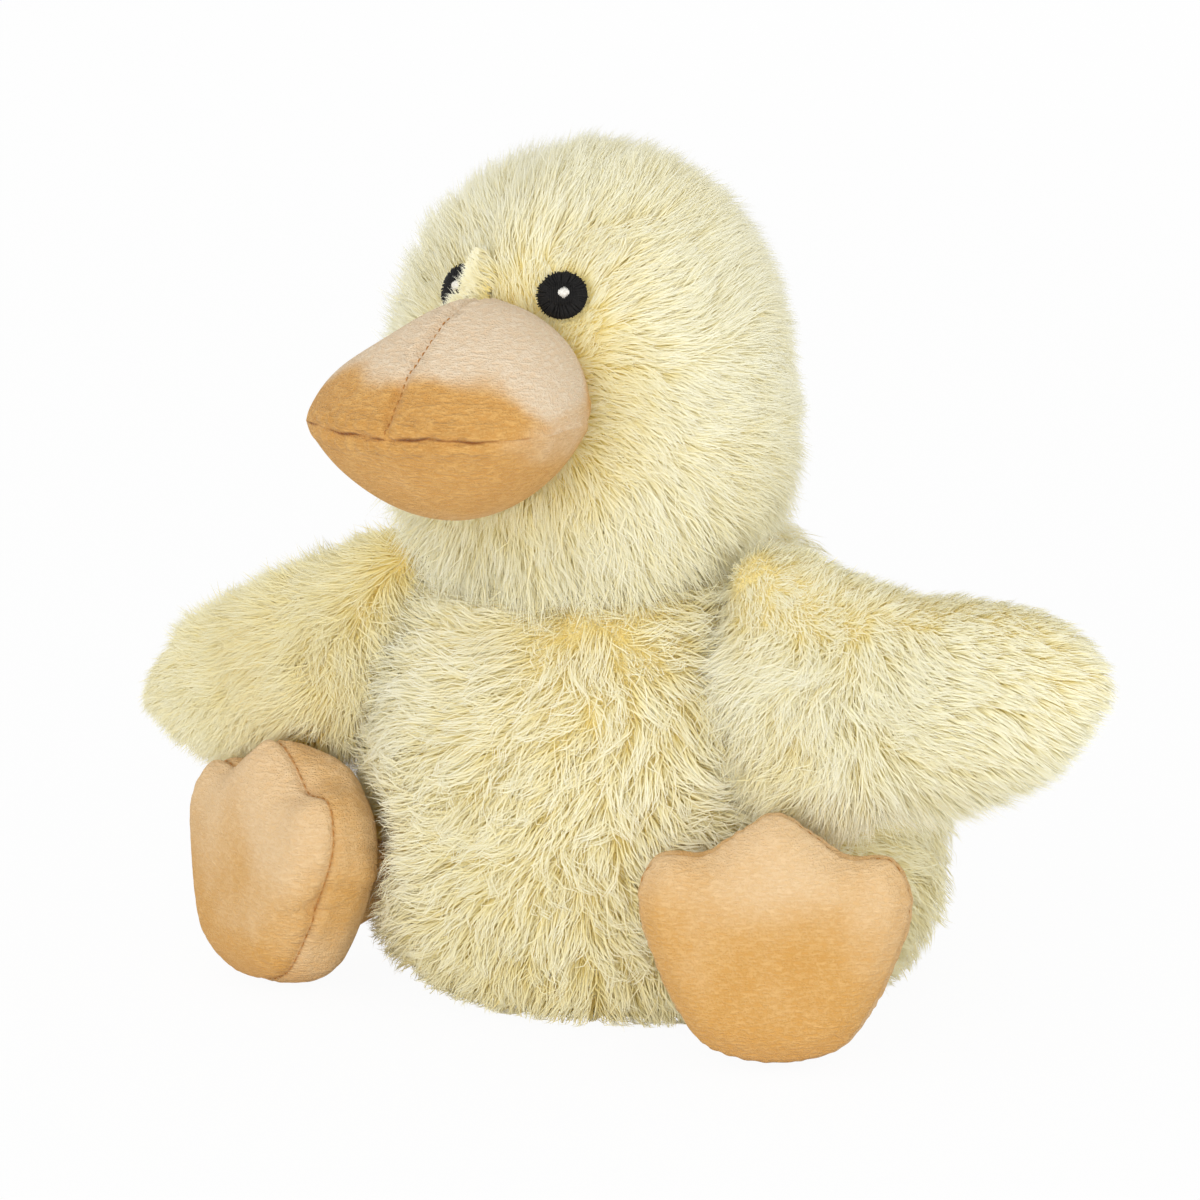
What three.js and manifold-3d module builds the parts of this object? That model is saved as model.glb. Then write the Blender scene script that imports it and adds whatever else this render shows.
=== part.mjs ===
// A seated plush chick filled with grain for warming, in millimetres, +Z up, facing -Y, +X on its own left.
import * as THREE from "three";
import { mergeVertices } from "three/addons/utils/BufferGeometryUtils.js";
import Module from "manifold-3d";

const wasm = await Module();
wasm.setup();

// Cloth and clearances
const FUR_THICKNESS = 12;
const WING_FUR_THICKNESS = 7.2;
const VELOUR_THICKNESS = 3.5;
const POUCH_CLOTH = 1.6;
const POUCH_SLACK = 0.6;
const SEAM_GAP = 0.3;
const JOINT_GAP = 0.9;

// Body
const BODY_RADIUS = 81;
const BELLY_HEIGHT = 42;
const BODY_UP_REACH = 108;
const BODY_DOWN_REACH = 56;
const BODY_DOWN_FULLNESS = 2.6;
const NECK_TANGENT_HEIGHT = 105;
const SIDE_SEAM_Y = 8;
const SEAT_SEAM_HEIGHT = 11;

// Grain pouch
const POUCH_UP_REACH = 44;
const FIBRE_FLOOR_ABOVE_BELLY = 12;

// Head
const HEAD_HALF_WIDTH = 55;
const HEAD_HALF_DEPTH = 54;
const HEAD_WIDEST_HEIGHT = 150;
const HEAD_UP_REACH = 86;
const HEAD_DOWN_REACH = 50;
const HEAD_UP_FULLNESS = 2.3;
const HEAD_FORWARD = 23;
const HEAD_TILT = 1.5;
const GUSSET_HALF_WIDTH = 9;

// Bill
const BILL_HALF_WIDTH = 38;
const BILL_LENGTH = 52;
const BILL_BACK_LENGTH = 38;
const BILL_WIDEST_FORWARD = 24;
const BILL_MOUTH_HEIGHT = 20;
const BILL_UPPER_HEIGHT = 30;
const BILL_CREST_BACK = 15;
const BILL_CHIN_BACK = 4;
const BILL_LOWER_HEIGHT = 26;
const BILL_OUTLINE_ROUND = 0.9;
const BILL_UPPER_ROUND = 1.3;
const BILL_LOWER_ROUND = 1.4;

// Eyes
const EYE_RADIUS = 7;
const EYE_DEPTH = 2.4;
const EYE_PROUD = 0.6;
const EYE_HEIGHT = 50;
const EYE_OFFSET = 16.5;
const HIGHLIGHT_RADIUS = 1.5;
const HIGHLIGHT_DEPTH = 1.2;
const HIGHLIGHT_PROUD = 0.2;
const HIGHLIGHT_SHIFT = 1.2;

// Wings
const WING_LENGTH = 94;
const WING_HALF_HEIGHT = 34;
const WING_ROOT_HALF_HEIGHT = 32;
const WING_TIP_LIFT = 6;
const WING_HALF_THICKNESS = 17;
const WING_ROOT_RADIUS = 7;
const WING_SWELL_END = 0.32;
const WING_TAPER = 2.2;
const WING_TIP_ROUND = 0.6;
const WING_TIP_END = 0.985;
const WING_CORE_START = 0.12;
const WING_CORE_TIP = 1.5;
const WING_ROOT_HEIGHT = 91;
const WING_ROOT_AZIMUTH = 58;
const WING_AZIMUTH = 100;
const LEFT_WING_RISE = 2;
const RIGHT_WING_RISE = -22;

// Feet
const FOOT_HALF_WIDTH = 37;
const FOOT_HALF_HEIGHT = 35;
const TOE_DIP = 12;
const SOLE_BULGE = 6;
const FOOT_BACK_BULGE = 20;
const FOOT_ROUND = 0.6;
const FOOT_TURN_OUT = 27;
const FOOT_LEAN = 8;
const LEG_ROOT_RADIUS = 13;
const LEG_LENGTH = 16;
const LEG_FLARE = 1.5;
const LEG_REACH = 0.7;
const LEG_ROOT_HEIGHT = 30;
const LEG_ROOT_AZIMUTH = 49;
const HEEL_FLAT = 0.5;

// Facets around and along the forms
const AROUND = 26;
const LIMB_AROUND = 16;
const FOOT_AROUND = 28;

// Materials
const cloth = (color, roughness) => new THREE.MeshStandardMaterial({ color, roughness, metalness: 0 });
const fur = cloth(0xe9dfae, 0.95);
const velour = cloth(0xebbe85, 0.9);
const blackThread = cloth(0x17120f, 0.6);
const whiteThread = cloth(0xf2efe6, 0.6);
const cotton = cloth(0xe6e0d2, 0.9);
const grain = cloth(0xc9a35b, 0.8);
const fibre = cloth(0xf3f2ee, 1);

// Solids from geometry and back again
function solidOf(geometry) {
  const bare = geometry.clone();
  bare.deleteAttribute("normal");
  bare.deleteAttribute("uv");
  const merged = mergeVertices(bare, 1e-4);
  return new wasm.Manifold(
    new wasm.Mesh({
      numProp: 3,
      vertProperties: new Float32Array(merged.attributes.position.array),
      triVerts: new Uint32Array(merged.index.array),
    }),
  );
}

function geometryOf(solid) {
  const mesh = solid.getMesh();
  const geometry = new THREE.BufferGeometry();
  geometry.setAttribute("position", new THREE.BufferAttribute(mesh.vertProperties, 3));
  geometry.setIndex(new THREE.BufferAttribute(mesh.triVerts, 1));
  geometry.computeVertexNormals();
  return geometry;
}

// A closed form through rings of points, each ring seen anticlockwise from the last one, capped by fans
function ringForm(rings) {
  const count = rings[0].length;
  const positions = [];
  const faces = [];
  const push = (p) => positions.push(p.x, p.y, p.z) / 3 - 1;
  const middle = (ring) => {
    const sum = new THREE.Vector3();
    ring.forEach((p) => sum.add(p));
    return sum.divideScalar(ring.length);
  };
  rings.forEach((ring) => ring.forEach(push));
  const first = push(middle(rings[0]));
  const last = push(middle(rings.at(-1)));
  for (let j = 0; j < count; j += 1) {
    const k = (j + 1) % count;
    const top = (rings.length - 1) * count;
    faces.push(first, k, j);
    faces.push(last, top + j, top + k);
    for (let i = 0; i < rings.length - 1; i += 1) {
      const low = i * count;
      const high = low + count;
      faces.push(low + j, low + k, high + k);
      faces.push(low + j, high + k, high + j);
    }
  }
  const geometry = new THREE.BufferGeometry();
  geometry.setAttribute("position", new THREE.BufferAttribute(new Float32Array(positions), 3));
  geometry.setIndex(faces);
  return geometry;
}

const radians = THREE.MathUtils.degToRad;
const place = (x, y, z) => new THREE.Vector3(x, y, z);
const turns = (count) => Array.from({ length: count }, (_, j) => (2 * Math.PI * j) / count);
const steps = (count, from, to) => {
  return Array.from({ length: count }, (_, i) => from + ((to - from) * i) / (count - 1));
};
const power = (value, exponent) => Math.sign(value) * Math.abs(value) ** exponent;

// Half-space cuts: keeps the side that the normal points to
const keep = (solid, normal, offset) => solid.trimByPlane(normal, offset);

// Body outline: a full lower half, an upper half-ellipse, and a ball on top that the head slides on
function bodyRadiusAt(height, inset) {
  const radius = BODY_RADIUS - inset;
  if (height < BELLY_HEIGHT) {
    const share = (BELLY_HEIGHT - height) / (BODY_DOWN_REACH - inset);
    return radius * Math.max(1 - share ** BODY_DOWN_FULLNESS, 0) ** (1 / BODY_DOWN_FULLNESS);
  }
  const share = (height - BELLY_HEIGHT) / (BODY_UP_REACH - inset);
  return radius * Math.sqrt(Math.max(1 - share * share, 0));
}

function neckBall(inset) {
  const radius = bodyRadiusAt(NECK_TANGENT_HEIGHT, inset);
  const rise = NECK_TANGENT_HEIGHT - BELLY_HEIGHT;
  const drop = rise * ((BODY_RADIUS - inset) / (BODY_UP_REACH - inset)) ** 2;
  return { height: NECK_TANGENT_HEIGHT - drop, radius: Math.hypot(radius, drop) };
}

function bodyForm(inset, around) {
  const ball = neckBall(inset);
  const ring = (radius, z) => turns(around).map((a) => place(radius * Math.cos(a), radius * Math.sin(a), z));
  const lowest = -0.5 * Math.PI * 0.94;
  const low = steps(7, lowest, 0).slice(0, -1).map((a) => {
    const share = 2 / BODY_DOWN_FULLNESS;
    const z = BELLY_HEIGHT + (BODY_DOWN_REACH - inset) * power(Math.sin(a), share);
    return ring((BODY_RADIUS - inset) * Math.cos(a) ** share, z);
  });
  const middle = steps(6, BELLY_HEIGHT, NECK_TANGENT_HEIGHT).map((z) => ring(bodyRadiusAt(z, inset), z));
  const rimAngle = Math.acos((NECK_TANGENT_HEIGHT - ball.height) / ball.radius);
  const top = steps(7, rimAngle, 0).slice(1, -1).map((a) => {
    return ring(ball.radius * Math.sin(a), ball.height + ball.radius * Math.cos(a));
  });
  return ringForm([...low, ...middle, ...top]);
}

const bodyOuter = solidOf(bodyForm(0, AROUND));
const bodyInner = solidOf(bodyForm(FUR_THICKNESS, AROUND));
const bodySwell = solidOf(bodyForm(-0.5 * SEAM_GAP, AROUND));
const seated = keep(bodyOuter, [0, 0, 1], 0);
const cavity = keep(bodyInner, [0, 0, 1], FUR_THICKNESS);
const bodyShell = seated.subtract(cavity);
const halfGap = SEAM_GAP / 2;

const bodySeat = keep(bodyShell, [0, 0, -1], -SEAT_SEAM_HEIGHT + halfGap);
const bodyUpper = keep(bodyShell, [0, 0, 1], SEAT_SEAM_HEIGHT + halfGap);
const bodyFront = keep(bodyUpper, [0, -1, 0], -SIDE_SEAM_Y + halfGap);
const bodyBack = keep(bodyUpper, [0, 1, 0], SIDE_SEAM_Y + halfGap);
const bodyBackLeft = keep(bodyBack, [1, 0, 0], halfGap);
const bodyBackRight = keep(bodyBack, [-1, 0, 0], halfGap);

// Pouch of grain in the lower body and fibre above it
function pouchForm(inset) {
  const radius = BODY_RADIUS - FUR_THICKNESS - inset;
  const down = BODY_DOWN_REACH - FUR_THICKNESS - inset;
  const up = POUCH_UP_REACH - inset;
  const rings = steps(9, -0.46 * Math.PI, 0.44 * Math.PI).map((a) => {
    const share = a < 0 ? 2 / BODY_DOWN_FULLNESS : 1;
    const z = BELLY_HEIGHT + (a < 0 ? down : up) * power(Math.sin(a), share);
    const across = radius * Math.cos(a) ** share;
    return turns(AROUND).map((t) => place(across * Math.cos(t), across * Math.sin(t), z));
  });
  return ringForm(rings);
}

const pouchInset = SEAM_GAP + POUCH_SLACK;
const pouchOuter = keep(solidOf(pouchForm(pouchInset)), [0, 0, 1], FUR_THICKNESS + SEAM_GAP);
const pouchFloor = FUR_THICKNESS + SEAM_GAP + POUCH_CLOTH;
const pouchInner = keep(solidOf(pouchForm(pouchInset + POUCH_CLOTH)), [0, 0, 1], pouchFloor);
const pouchShell = pouchOuter.subtract(pouchInner);
const pouchFront = keep(pouchShell, [0, -1, 0], halfGap);
const pouchBack = keep(pouchShell, [0, 1, 0], halfGap);
const grainOuter = solidOf(pouchForm(pouchInset + POUCH_CLOTH + SEAM_GAP));
const grainFill = keep(grainOuter, [0, 0, 1], pouchFloor + SEAM_GAP);
const fibreFloor = BELLY_HEIGHT + FIBRE_FLOOR_ABOVE_BELLY;
const bodyFibre = keep(
  solidOf(bodyForm(FUR_THICKNESS + SEAM_GAP, AROUND)).subtract(solidOf(pouchForm(pouchInset - SEAM_GAP))),
  [0, 0, 1],
  fibreFloor,
);

// Group frames: a part is shaped in its own frame, and what cuts it is brought into that frame
function frameOf(group) {
  group.updateMatrixWorld(true);
  const inverse = group.matrixWorld.clone().invert();
  return (solid) => solid.transform(inverse.toArray());
}

function addMesh(group, name, solid, material) {
  const mesh = new THREE.Mesh(geometryOf(solid), material);
  mesh.name = name;
  group.add(mesh);
}

const chick = new THREE.Group();
chick.name = "plush_chick";
addMesh(chick, "body_front_panel", bodyFront, fur);
addMesh(chick, "body_back_left_panel", bodyBackLeft, fur);
addMesh(chick, "body_back_right_panel", bodyBackRight, fur);
addMesh(chick, "body_base_panel", bodySeat, fur);
addMesh(chick, "pouch_front_cloth", pouchFront, cotton);
addMesh(chick, "pouch_back_cloth", pouchBack, cotton);
addMesh(chick, "grain_filling", grainFill, grain);
addMesh(chick, "body_fibre", bodyFibre, fibre);

// Head: narrower above the cheeks, tilted on the neck ball, hollow for its fibre
const neck = neckBall(0);
const head = new THREE.Group();
head.name = "head";
const tilt = radians(-HEAD_TILT);
const headRise = HEAD_WIDEST_HEIGHT - neck.height;
head.position.set(headRise * Math.sin(tilt), -HEAD_FORWARD, neck.height + headRise * Math.cos(tilt));
head.rotation.y = tilt;
chick.add(head);
const intoHead = frameOf(head);

function headPoint(angle, around, inset) {
  const share = angle < 0 ? 1 : 2 / HEAD_UP_FULLNESS;
  const reach = (angle < 0 ? HEAD_DOWN_REACH : HEAD_UP_REACH) - inset;
  const across = Math.cos(angle) ** share;
  return place(
    (HEAD_HALF_WIDTH - inset) * across * Math.cos(around),
    (HEAD_HALF_DEPTH - inset) * across * Math.sin(around),
    reach * power(Math.sin(angle), share),
  );
}

function headForm(inset) {
  const rings = steps(13, -0.42 * Math.PI, 0.46 * Math.PI).map((angle) => {
    return turns(AROUND).map((around) => headPoint(angle, around, inset));
  });
  return solidOf(ringForm(rings));
}

const neckCutter = new THREE.SphereGeometry(neck.radius + JOINT_GAP, 36, 20);
neckCutter.translate(0, 0, neck.height);
const neckHollow = intoHead(solidOf(neckCutter));
const headShell = headForm(0).subtract(headForm(FUR_THICKNESS)).subtract(neckHollow);
const headFibre = headForm(FUR_THICKNESS + SEAM_GAP).subtract(neckHollow);
const headSwell = headForm(-SEAM_GAP);

// Eyes: stitched patches let into the side panels, each with a small light patch
function eyeFrame(side) {
  const share = 2 / HEAD_UP_FULLNESS;
  const angle = Math.asin((EYE_HEIGHT / HEAD_UP_REACH) ** (1 / share));
  const across = HEAD_HALF_WIDTH * Math.cos(angle) ** share;
  const around = -Math.acos((side * EYE_OFFSET) / across);
  const point = headPoint(angle, around, 0);
  const up = headPoint(angle + 0.01, around, 0).sub(point);
  const along = headPoint(angle, around + 0.01, 0).sub(point);
  const normal = along.clone().cross(up).normalize();
  const level = place(0, 0, 1).cross(normal).normalize();
  const frame = new THREE.Matrix4().makeBasis(level, normal.clone().cross(level), normal);
  return frame.setPosition(point);
}

function eyeDisc(side, radius, shift, top, bottom) {
  const disc = new THREE.CylinderGeometry(radius, radius, top - bottom, 16);
  disc.rotateX(Math.PI / 2);
  disc.translate(shift, 0, (top + bottom) / 2);
  disc.applyMatrix4(eyeFrame(side));
  return solidOf(disc);
}

const eyeSides = { left: 1, right: -1 };
let pocketedHead = headShell;
const eyePockets = [];
for (const [sideName, side] of Object.entries(eyeSides)) {
  const lightTop = EYE_PROUD + HIGHLIGHT_PROUD;
  const lightFloor = EYE_PROUD - HIGHLIGHT_DEPTH;
  const pocket = eyeDisc(side, EYE_RADIUS + SEAM_GAP, 0, EYE_PROUD + EYE_DEPTH, -EYE_DEPTH - SEAM_GAP);
  const lightPocket = eyeDisc(
    side, HIGHLIGHT_RADIUS + SEAM_GAP, HIGHLIGHT_SHIFT, lightTop + HIGHLIGHT_DEPTH, lightFloor - SEAM_GAP,
  );
  const light = eyeDisc(side, HIGHLIGHT_RADIUS, HIGHLIGHT_SHIFT, lightTop, lightFloor);
  const eye = eyeDisc(side, EYE_RADIUS, 0, EYE_PROUD, -EYE_DEPTH).subtract(lightPocket);
  pocketedHead = pocketedHead.subtract(pocket);
  eyePockets.push(pocket);
  addMesh(head, `${sideName}_eye`, eye, blackThread);
  addMesh(head, `${sideName}_eye_highlight`, light, whiteThread);
}

const headGusset = keep(
  keep(pocketedHead, [-1, 0, 0], -GUSSET_HALF_WIDTH + halfGap),
  [1, 0, 0],
  -GUSSET_HALF_WIDTH + halfGap,
);
addMesh(head, "head_left_panel", keep(pocketedHead, [1, 0, 0], GUSSET_HALF_WIDTH + halfGap), fur);
addMesh(head, "head_right_panel", keep(pocketedHead, [-1, 0, 0], GUSSET_HALF_WIDTH + halfGap), fur);
addMesh(head, "head_gusset", headGusset, fur);
addMesh(head, "head_fibre", headFibre, fibre);

// Pillow forms: an outline swelling to a crest on each side, each crest shifted along the outline's own Y
function pillow(outline, upper, lower, rounds) {
  const ring = (angle, crest, side) => {
    const swell = Math.cos(angle) ** crest.round;
    const share = Math.sin(angle);
    const z = side * crest.height * swell;
    return outline.map((p) => place(p.x * share, p.y * share + crest.shift * swell, z));
  };
  const angles = steps(rounds, 0, 0.5 * Math.PI).slice(1);
  const below = angles.map((a) => ring(a, lower, -1));
  const above = angles.map((a) => ring(a, upper, 1));
  return ringForm([...below, ...above.reverse().slice(1)]);
}

// Bill: a broad swelling shape, with its mouth along the widest line, sewn on the front of the head
function billForm(inset) {
  const outline = turns(AROUND).map((a) => {
    const reach = Math.sin(a) < 0 ? BILL_LENGTH - BILL_WIDEST_FORWARD : BILL_BACK_LENGTH;
    const along = (reach - inset) * power(Math.sin(a), BILL_OUTLINE_ROUND);
    return place((BILL_HALF_WIDTH - inset) * Math.cos(a), along, 0);
  });
  const upper = { height: BILL_UPPER_HEIGHT - inset, round: BILL_UPPER_ROUND, shift: BILL_CREST_BACK };
  const lower = { height: BILL_LOWER_HEIGHT - inset, round: BILL_LOWER_ROUND, shift: BILL_CHIN_BACK };
  const form = pillow(outline, upper, lower, 5);
  form.translate(0, -HEAD_HALF_DEPTH - BILL_WIDEST_FORWARD, BILL_MOUTH_HEIGHT);
  return solidOf(form);
}

const billSolid = eyePockets.reduce((bill, pocket) => bill.subtract(pocket), billForm(0).subtract(headSwell));
const billShell = billSolid.subtract(billForm(VELOUR_THICKNESS));
const billUpper = keep(billShell, [0, 0, 1], BILL_MOUTH_HEIGHT + halfGap);
addMesh(head, "bill_upper_left_panel", keep(billUpper, [1, 0, 0], halfGap), velour);
addMesh(head, "bill_upper_right_panel", keep(billUpper, [-1, 0, 0], halfGap), velour);
addMesh(head, "bill_lower_panel", keep(billShell, [0, 0, -1], -BILL_MOUTH_HEIGHT + halfGap), velour);
addMesh(head, "bill_fibre", billForm(VELOUR_THICKNESS + SEAM_GAP).subtract(headSwell), fibre);

// Wings: each swells from a rounded root, tapers to its tip and turns on the seam along its root
const bodySurface = new THREE.Mesh(bodyForm(0, AROUND), new THREE.MeshBasicMaterial());

function surfaceFrame(azimuth, height, side) {
  const angle = radians(azimuth);
  const slope = bodyRadiusAt(height + 0.5, 0) - bodyRadiusAt(height - 0.5, 0);
  const out = place(side * Math.sin(angle), -Math.cos(angle), 0);
  const along = out.clone().multiplyScalar(slope).add(place(0, 0, 1)).normalize();
  const normal = out.clone().addScaledVector(along, -out.dot(along)).normalize();
  const outside = out.clone().multiplyScalar(2 * BODY_RADIUS).setZ(height);
  const [hit] = new THREE.Raycaster(outside, out.clone().negate()).intersectObject(bodySurface);
  return { point: hit.point, along, normal };
}

function wingSize(t, inset) {
  const taper = Math.max(1 - t ** WING_TAPER, 0) ** WING_TIP_ROUND;
  const blend = THREE.MathUtils.smoothstep(t, 0, WING_SWELL_END);
  const tall = THREE.MathUtils.lerp(WING_ROOT_HALF_HEIGHT, WING_HALF_HEIGHT, blend) * taper;
  const thick = THREE.MathUtils.lerp(WING_ROOT_RADIUS, WING_HALF_THICKNESS, blend) * taper;
  return { tall: tall - inset, thick: thick - inset };
}

function wingForm(rootAxis, reach, tipAxis, inset) {
  const across = reach.clone().cross(rootAxis).normalize();
  const away = rootAxis.clone().cross(across);
  const ring = (centre, axis, tall, thick) => turns(LIMB_AROUND).map((a) => {
    const up = axis.clone().multiplyScalar(tall * Math.cos(a));
    return centre.clone().add(up).addScaledVector(across, thick * Math.sin(a));
  });
  const rounding = inset > 0 ? [] : [80, 40].map((angle) => {
    const centre = away.clone().multiplyScalar(-WING_ROOT_RADIUS * Math.sin(radians(angle)));
    return ring(centre, rootAxis, WING_ROOT_HALF_HEIGHT, WING_ROOT_RADIUS * Math.cos(radians(angle)));
  });
  const start = inset > 0 ? WING_CORE_START + inset / WING_LENGTH : 0;
  const thinnest = (inset + WING_CORE_TIP) / WING_HALF_THICKNESS;
  const coreEnd = (1 - thinnest ** (1 / WING_TIP_ROUND)) ** (1 / WING_TAPER);
  const end = inset > 0 ? coreEnd : WING_TIP_END;
  const rings = steps(9, 0, 1).map((s) => {
    const t = start + (end - start) * Math.sin(0.5 * Math.PI * s);
    const { tall, thick } = wingSize(t, inset);
    const centre = reach.clone().multiplyScalar(t * WING_LENGTH);
    centre.z += WING_TIP_LIFT * t * t;
    return ring(centre, rootAxis.clone().lerp(tipAxis, t), tall, thick);
  });
  return solidOf(ringForm([...rounding, ...rings]));
}

function addWing(sideName, side, rise) {
  const root = surfaceFrame(WING_ROOT_AZIMUTH, WING_ROOT_HEIGHT, side);
  const wing = new THREE.Group();
  wing.name = `${sideName}_wing`;
  wing.position.copy(root.point).addScaledVector(root.normal, WING_ROOT_RADIUS + SEAM_GAP);
  chick.add(wing);
  const intoWing = frameOf(wing);
  const azimuth = radians(WING_AZIMUTH);
  const lift = radians(rise);
  const level = Math.cos(lift);
  const reach = place(side * level * Math.sin(azimuth), -level * Math.cos(azimuth), Math.sin(lift));
  const tipAxis = place(0, 0, 1).addScaledVector(reach, -reach.z).normalize();
  const bodyCutter = intoWing(bodySwell);
  const outer = wingForm(root.along, reach, tipAxis, 0).subtract(bodyCutter);
  const shell = outer.subtract(wingForm(root.along, reach, tipAxis, WING_FUR_THICKNESS));
  const core = wingForm(root.along, reach, tipAxis, WING_FUR_THICKNESS + SEAM_GAP);
  const front = reach.clone().cross(root.along.clone().lerp(tipAxis, 0.5)).normalize().multiplyScalar(side);
  addMesh(wing, `${sideName}_wing_front_panel`, keep(shell, front.toArray(), halfGap), fur);
  addMesh(wing, `${sideName}_wing_back_panel`, keep(shell, front.clone().negate().toArray(), halfGap), fur);
  addMesh(wing, `${sideName}_wing_fibre`, core, fibre);
}

addWing("left", 1, LEFT_WING_RISE);
addWing("right", -1, RIGHT_WING_RISE);

// Feet: a sole with three toes, a domed upper and a short ankle that ends in a ball at the body
function footOutline(inset) {
  const w = FOOT_HALF_WIDTH;
  const h = FOOT_HALF_HEIGHT;
  const right = [
    [0, h],
    [w * 0.28, h - TOE_DIP * 0.45],
    [w * 0.54, h - TOE_DIP],
    [w * 0.84, h - TOE_DIP],
    [w, h * 0.38],
    [w * 0.93, 0],
    [w * 0.73, -h * 0.5],
    [w * 0.45, -h * 0.86],
  ];
  const left = right.slice(1).reverse().map(([x, y]) => [-x, y]);
  const points = [...left.slice(0), ...right, [0, -h]].map(([x, y]) => place(x, y, 0));
  const curve = new THREE.CatmullRomCurve3(points.reverse(), true, "centripetal");
  const share = 1 - inset / Math.min(w, h);
  return curve.getSpacedPoints(FOOT_AROUND).slice(0, -1).map((p) => p.multiplyScalar(share));
}

function addFoot(sideName, side) {
  const root = surfaceFrame(LEG_ROOT_AZIMUTH, LEG_ROOT_HEIGHT, side);
  const turn = radians(FOOT_TURN_OUT) * side;
  const foot = new THREE.Group();
  foot.name = `${sideName}_foot`;
  foot.position.copy(root.point).addScaledVector(root.normal, LEG_ROOT_RADIUS + SEAM_GAP);
  chick.add(foot);
  const intoFoot = frameOf(foot);
  const facing = place(Math.sin(turn), -Math.cos(turn), 0);
  const lean = radians(FOOT_LEAN);
  const sole = facing.clone().multiplyScalar(Math.cos(lean)).add(place(0, 0, Math.sin(lean)));
  const sideways = place(0, 0, 1).cross(facing).normalize();
  const toes = sole.clone().cross(sideways);
  const outDirection = root.normal.clone().setZ(0).normalize();
  const centre = outDirection.clone().multiplyScalar(LEG_LENGTH);
  const heel = FOOT_HALF_HEIGHT * Math.cos(lean);
  centre.z = heel - HEEL_FLAT - foot.position.z;
  const frame = new THREE.Matrix4().makeBasis(sideways, toes, sole).setPosition(centre);
  const pad = (inset) => {
    const front = { height: SOLE_BULGE - inset * 0.5, round: FOOT_ROUND, shift: 0 };
    const back = { height: FOOT_BACK_BULGE - inset, round: FOOT_ROUND, shift: 0 };
    const form = pillow(footOutline(inset), front, back, 4);
    form.applyMatrix4(frame);
    return solidOf(form);
  };
  const legCurve = new THREE.LineCurve3(place(0, 0, 0), centre.clone().multiplyScalar(LEG_REACH));
  const legRings = steps(3, 0, 1).map((t) => {
    const middle = legCurve.getPoint(t);
    const radius = THREE.MathUtils.lerp(LEG_ROOT_RADIUS * 0.98, LEG_ROOT_RADIUS * LEG_FLARE, t);
    const forward = legCurve.getTangent(0);
    const level = place(0, 0, 1).cross(forward).normalize();
    const up = forward.clone().cross(level);
    return turns(12).map((a) => {
      const aside = level.clone().multiplyScalar(radius * Math.cos(a));
      return middle.clone().add(aside).addScaledVector(up, radius * Math.sin(a));
    });
  });
  const ballForm = new THREE.SphereGeometry(LEG_ROOT_RADIUS, 12, 10);
  ballForm.applyQuaternion(new THREE.Quaternion().setFromUnitVectors(place(0, 1, 0), root.normal));
  const ball = solidOf(ballForm);
  const leg = solidOf(ringForm(legRings)).add(ball);
  const bodyCutter = intoFoot(bodySwell);
  const floor = -foot.position.z;
  const whole = keep(pad(0).add(leg).subtract(bodyCutter), [0, 0, 1], floor);
  const shell = whole.subtract(pad(VELOUR_THICKNESS));
  const seam = sole.dot(centre);
  const forwardSide = sole.toArray();
  const backSide = sole.clone().negate().toArray();
  addMesh(foot, `${sideName}_foot_sole`, keep(shell, forwardSide, seam + halfGap), velour);
  addMesh(foot, `${sideName}_foot_upper`, keep(shell, backSide, -seam + halfGap), velour);
  addMesh(foot, `${sideName}_foot_fibre`, pad(VELOUR_THICKNESS + SEAM_GAP), fibre);
}

addFoot("left", 1);
addFoot("right", -1);

export default chick;
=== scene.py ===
"""Looks of the plush chick: stuffed skins, mesh pile, velour bill and feet, stitched eyes."""

import math

import bpy
import numpy as np
from mathutils import Matrix, Vector, noise
from mathutils.bvhtree import BVHTree
from mathutils.kdtree import KDTree


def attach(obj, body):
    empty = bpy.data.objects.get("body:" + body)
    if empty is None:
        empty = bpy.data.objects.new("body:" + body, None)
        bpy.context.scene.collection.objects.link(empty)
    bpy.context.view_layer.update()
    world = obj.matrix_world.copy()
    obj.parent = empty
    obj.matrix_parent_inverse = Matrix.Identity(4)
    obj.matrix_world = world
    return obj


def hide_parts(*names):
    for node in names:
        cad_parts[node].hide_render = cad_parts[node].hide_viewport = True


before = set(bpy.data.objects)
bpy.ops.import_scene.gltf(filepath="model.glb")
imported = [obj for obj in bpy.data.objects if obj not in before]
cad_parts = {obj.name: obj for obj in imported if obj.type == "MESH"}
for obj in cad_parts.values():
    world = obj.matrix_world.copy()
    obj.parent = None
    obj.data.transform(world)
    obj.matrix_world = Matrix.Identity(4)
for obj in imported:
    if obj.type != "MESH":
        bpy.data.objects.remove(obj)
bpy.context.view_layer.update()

MM = 0.001
noise.seed_set(5)

# Camera, at the viewing angle of the photograph
CAMERA_PLACE = (0.9210, -1.5006, 0.4785)
CAMERA_TARGET = (-0.01201, -0.00751, 0.10422)
CAMERA_LENS = 194.4

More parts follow.
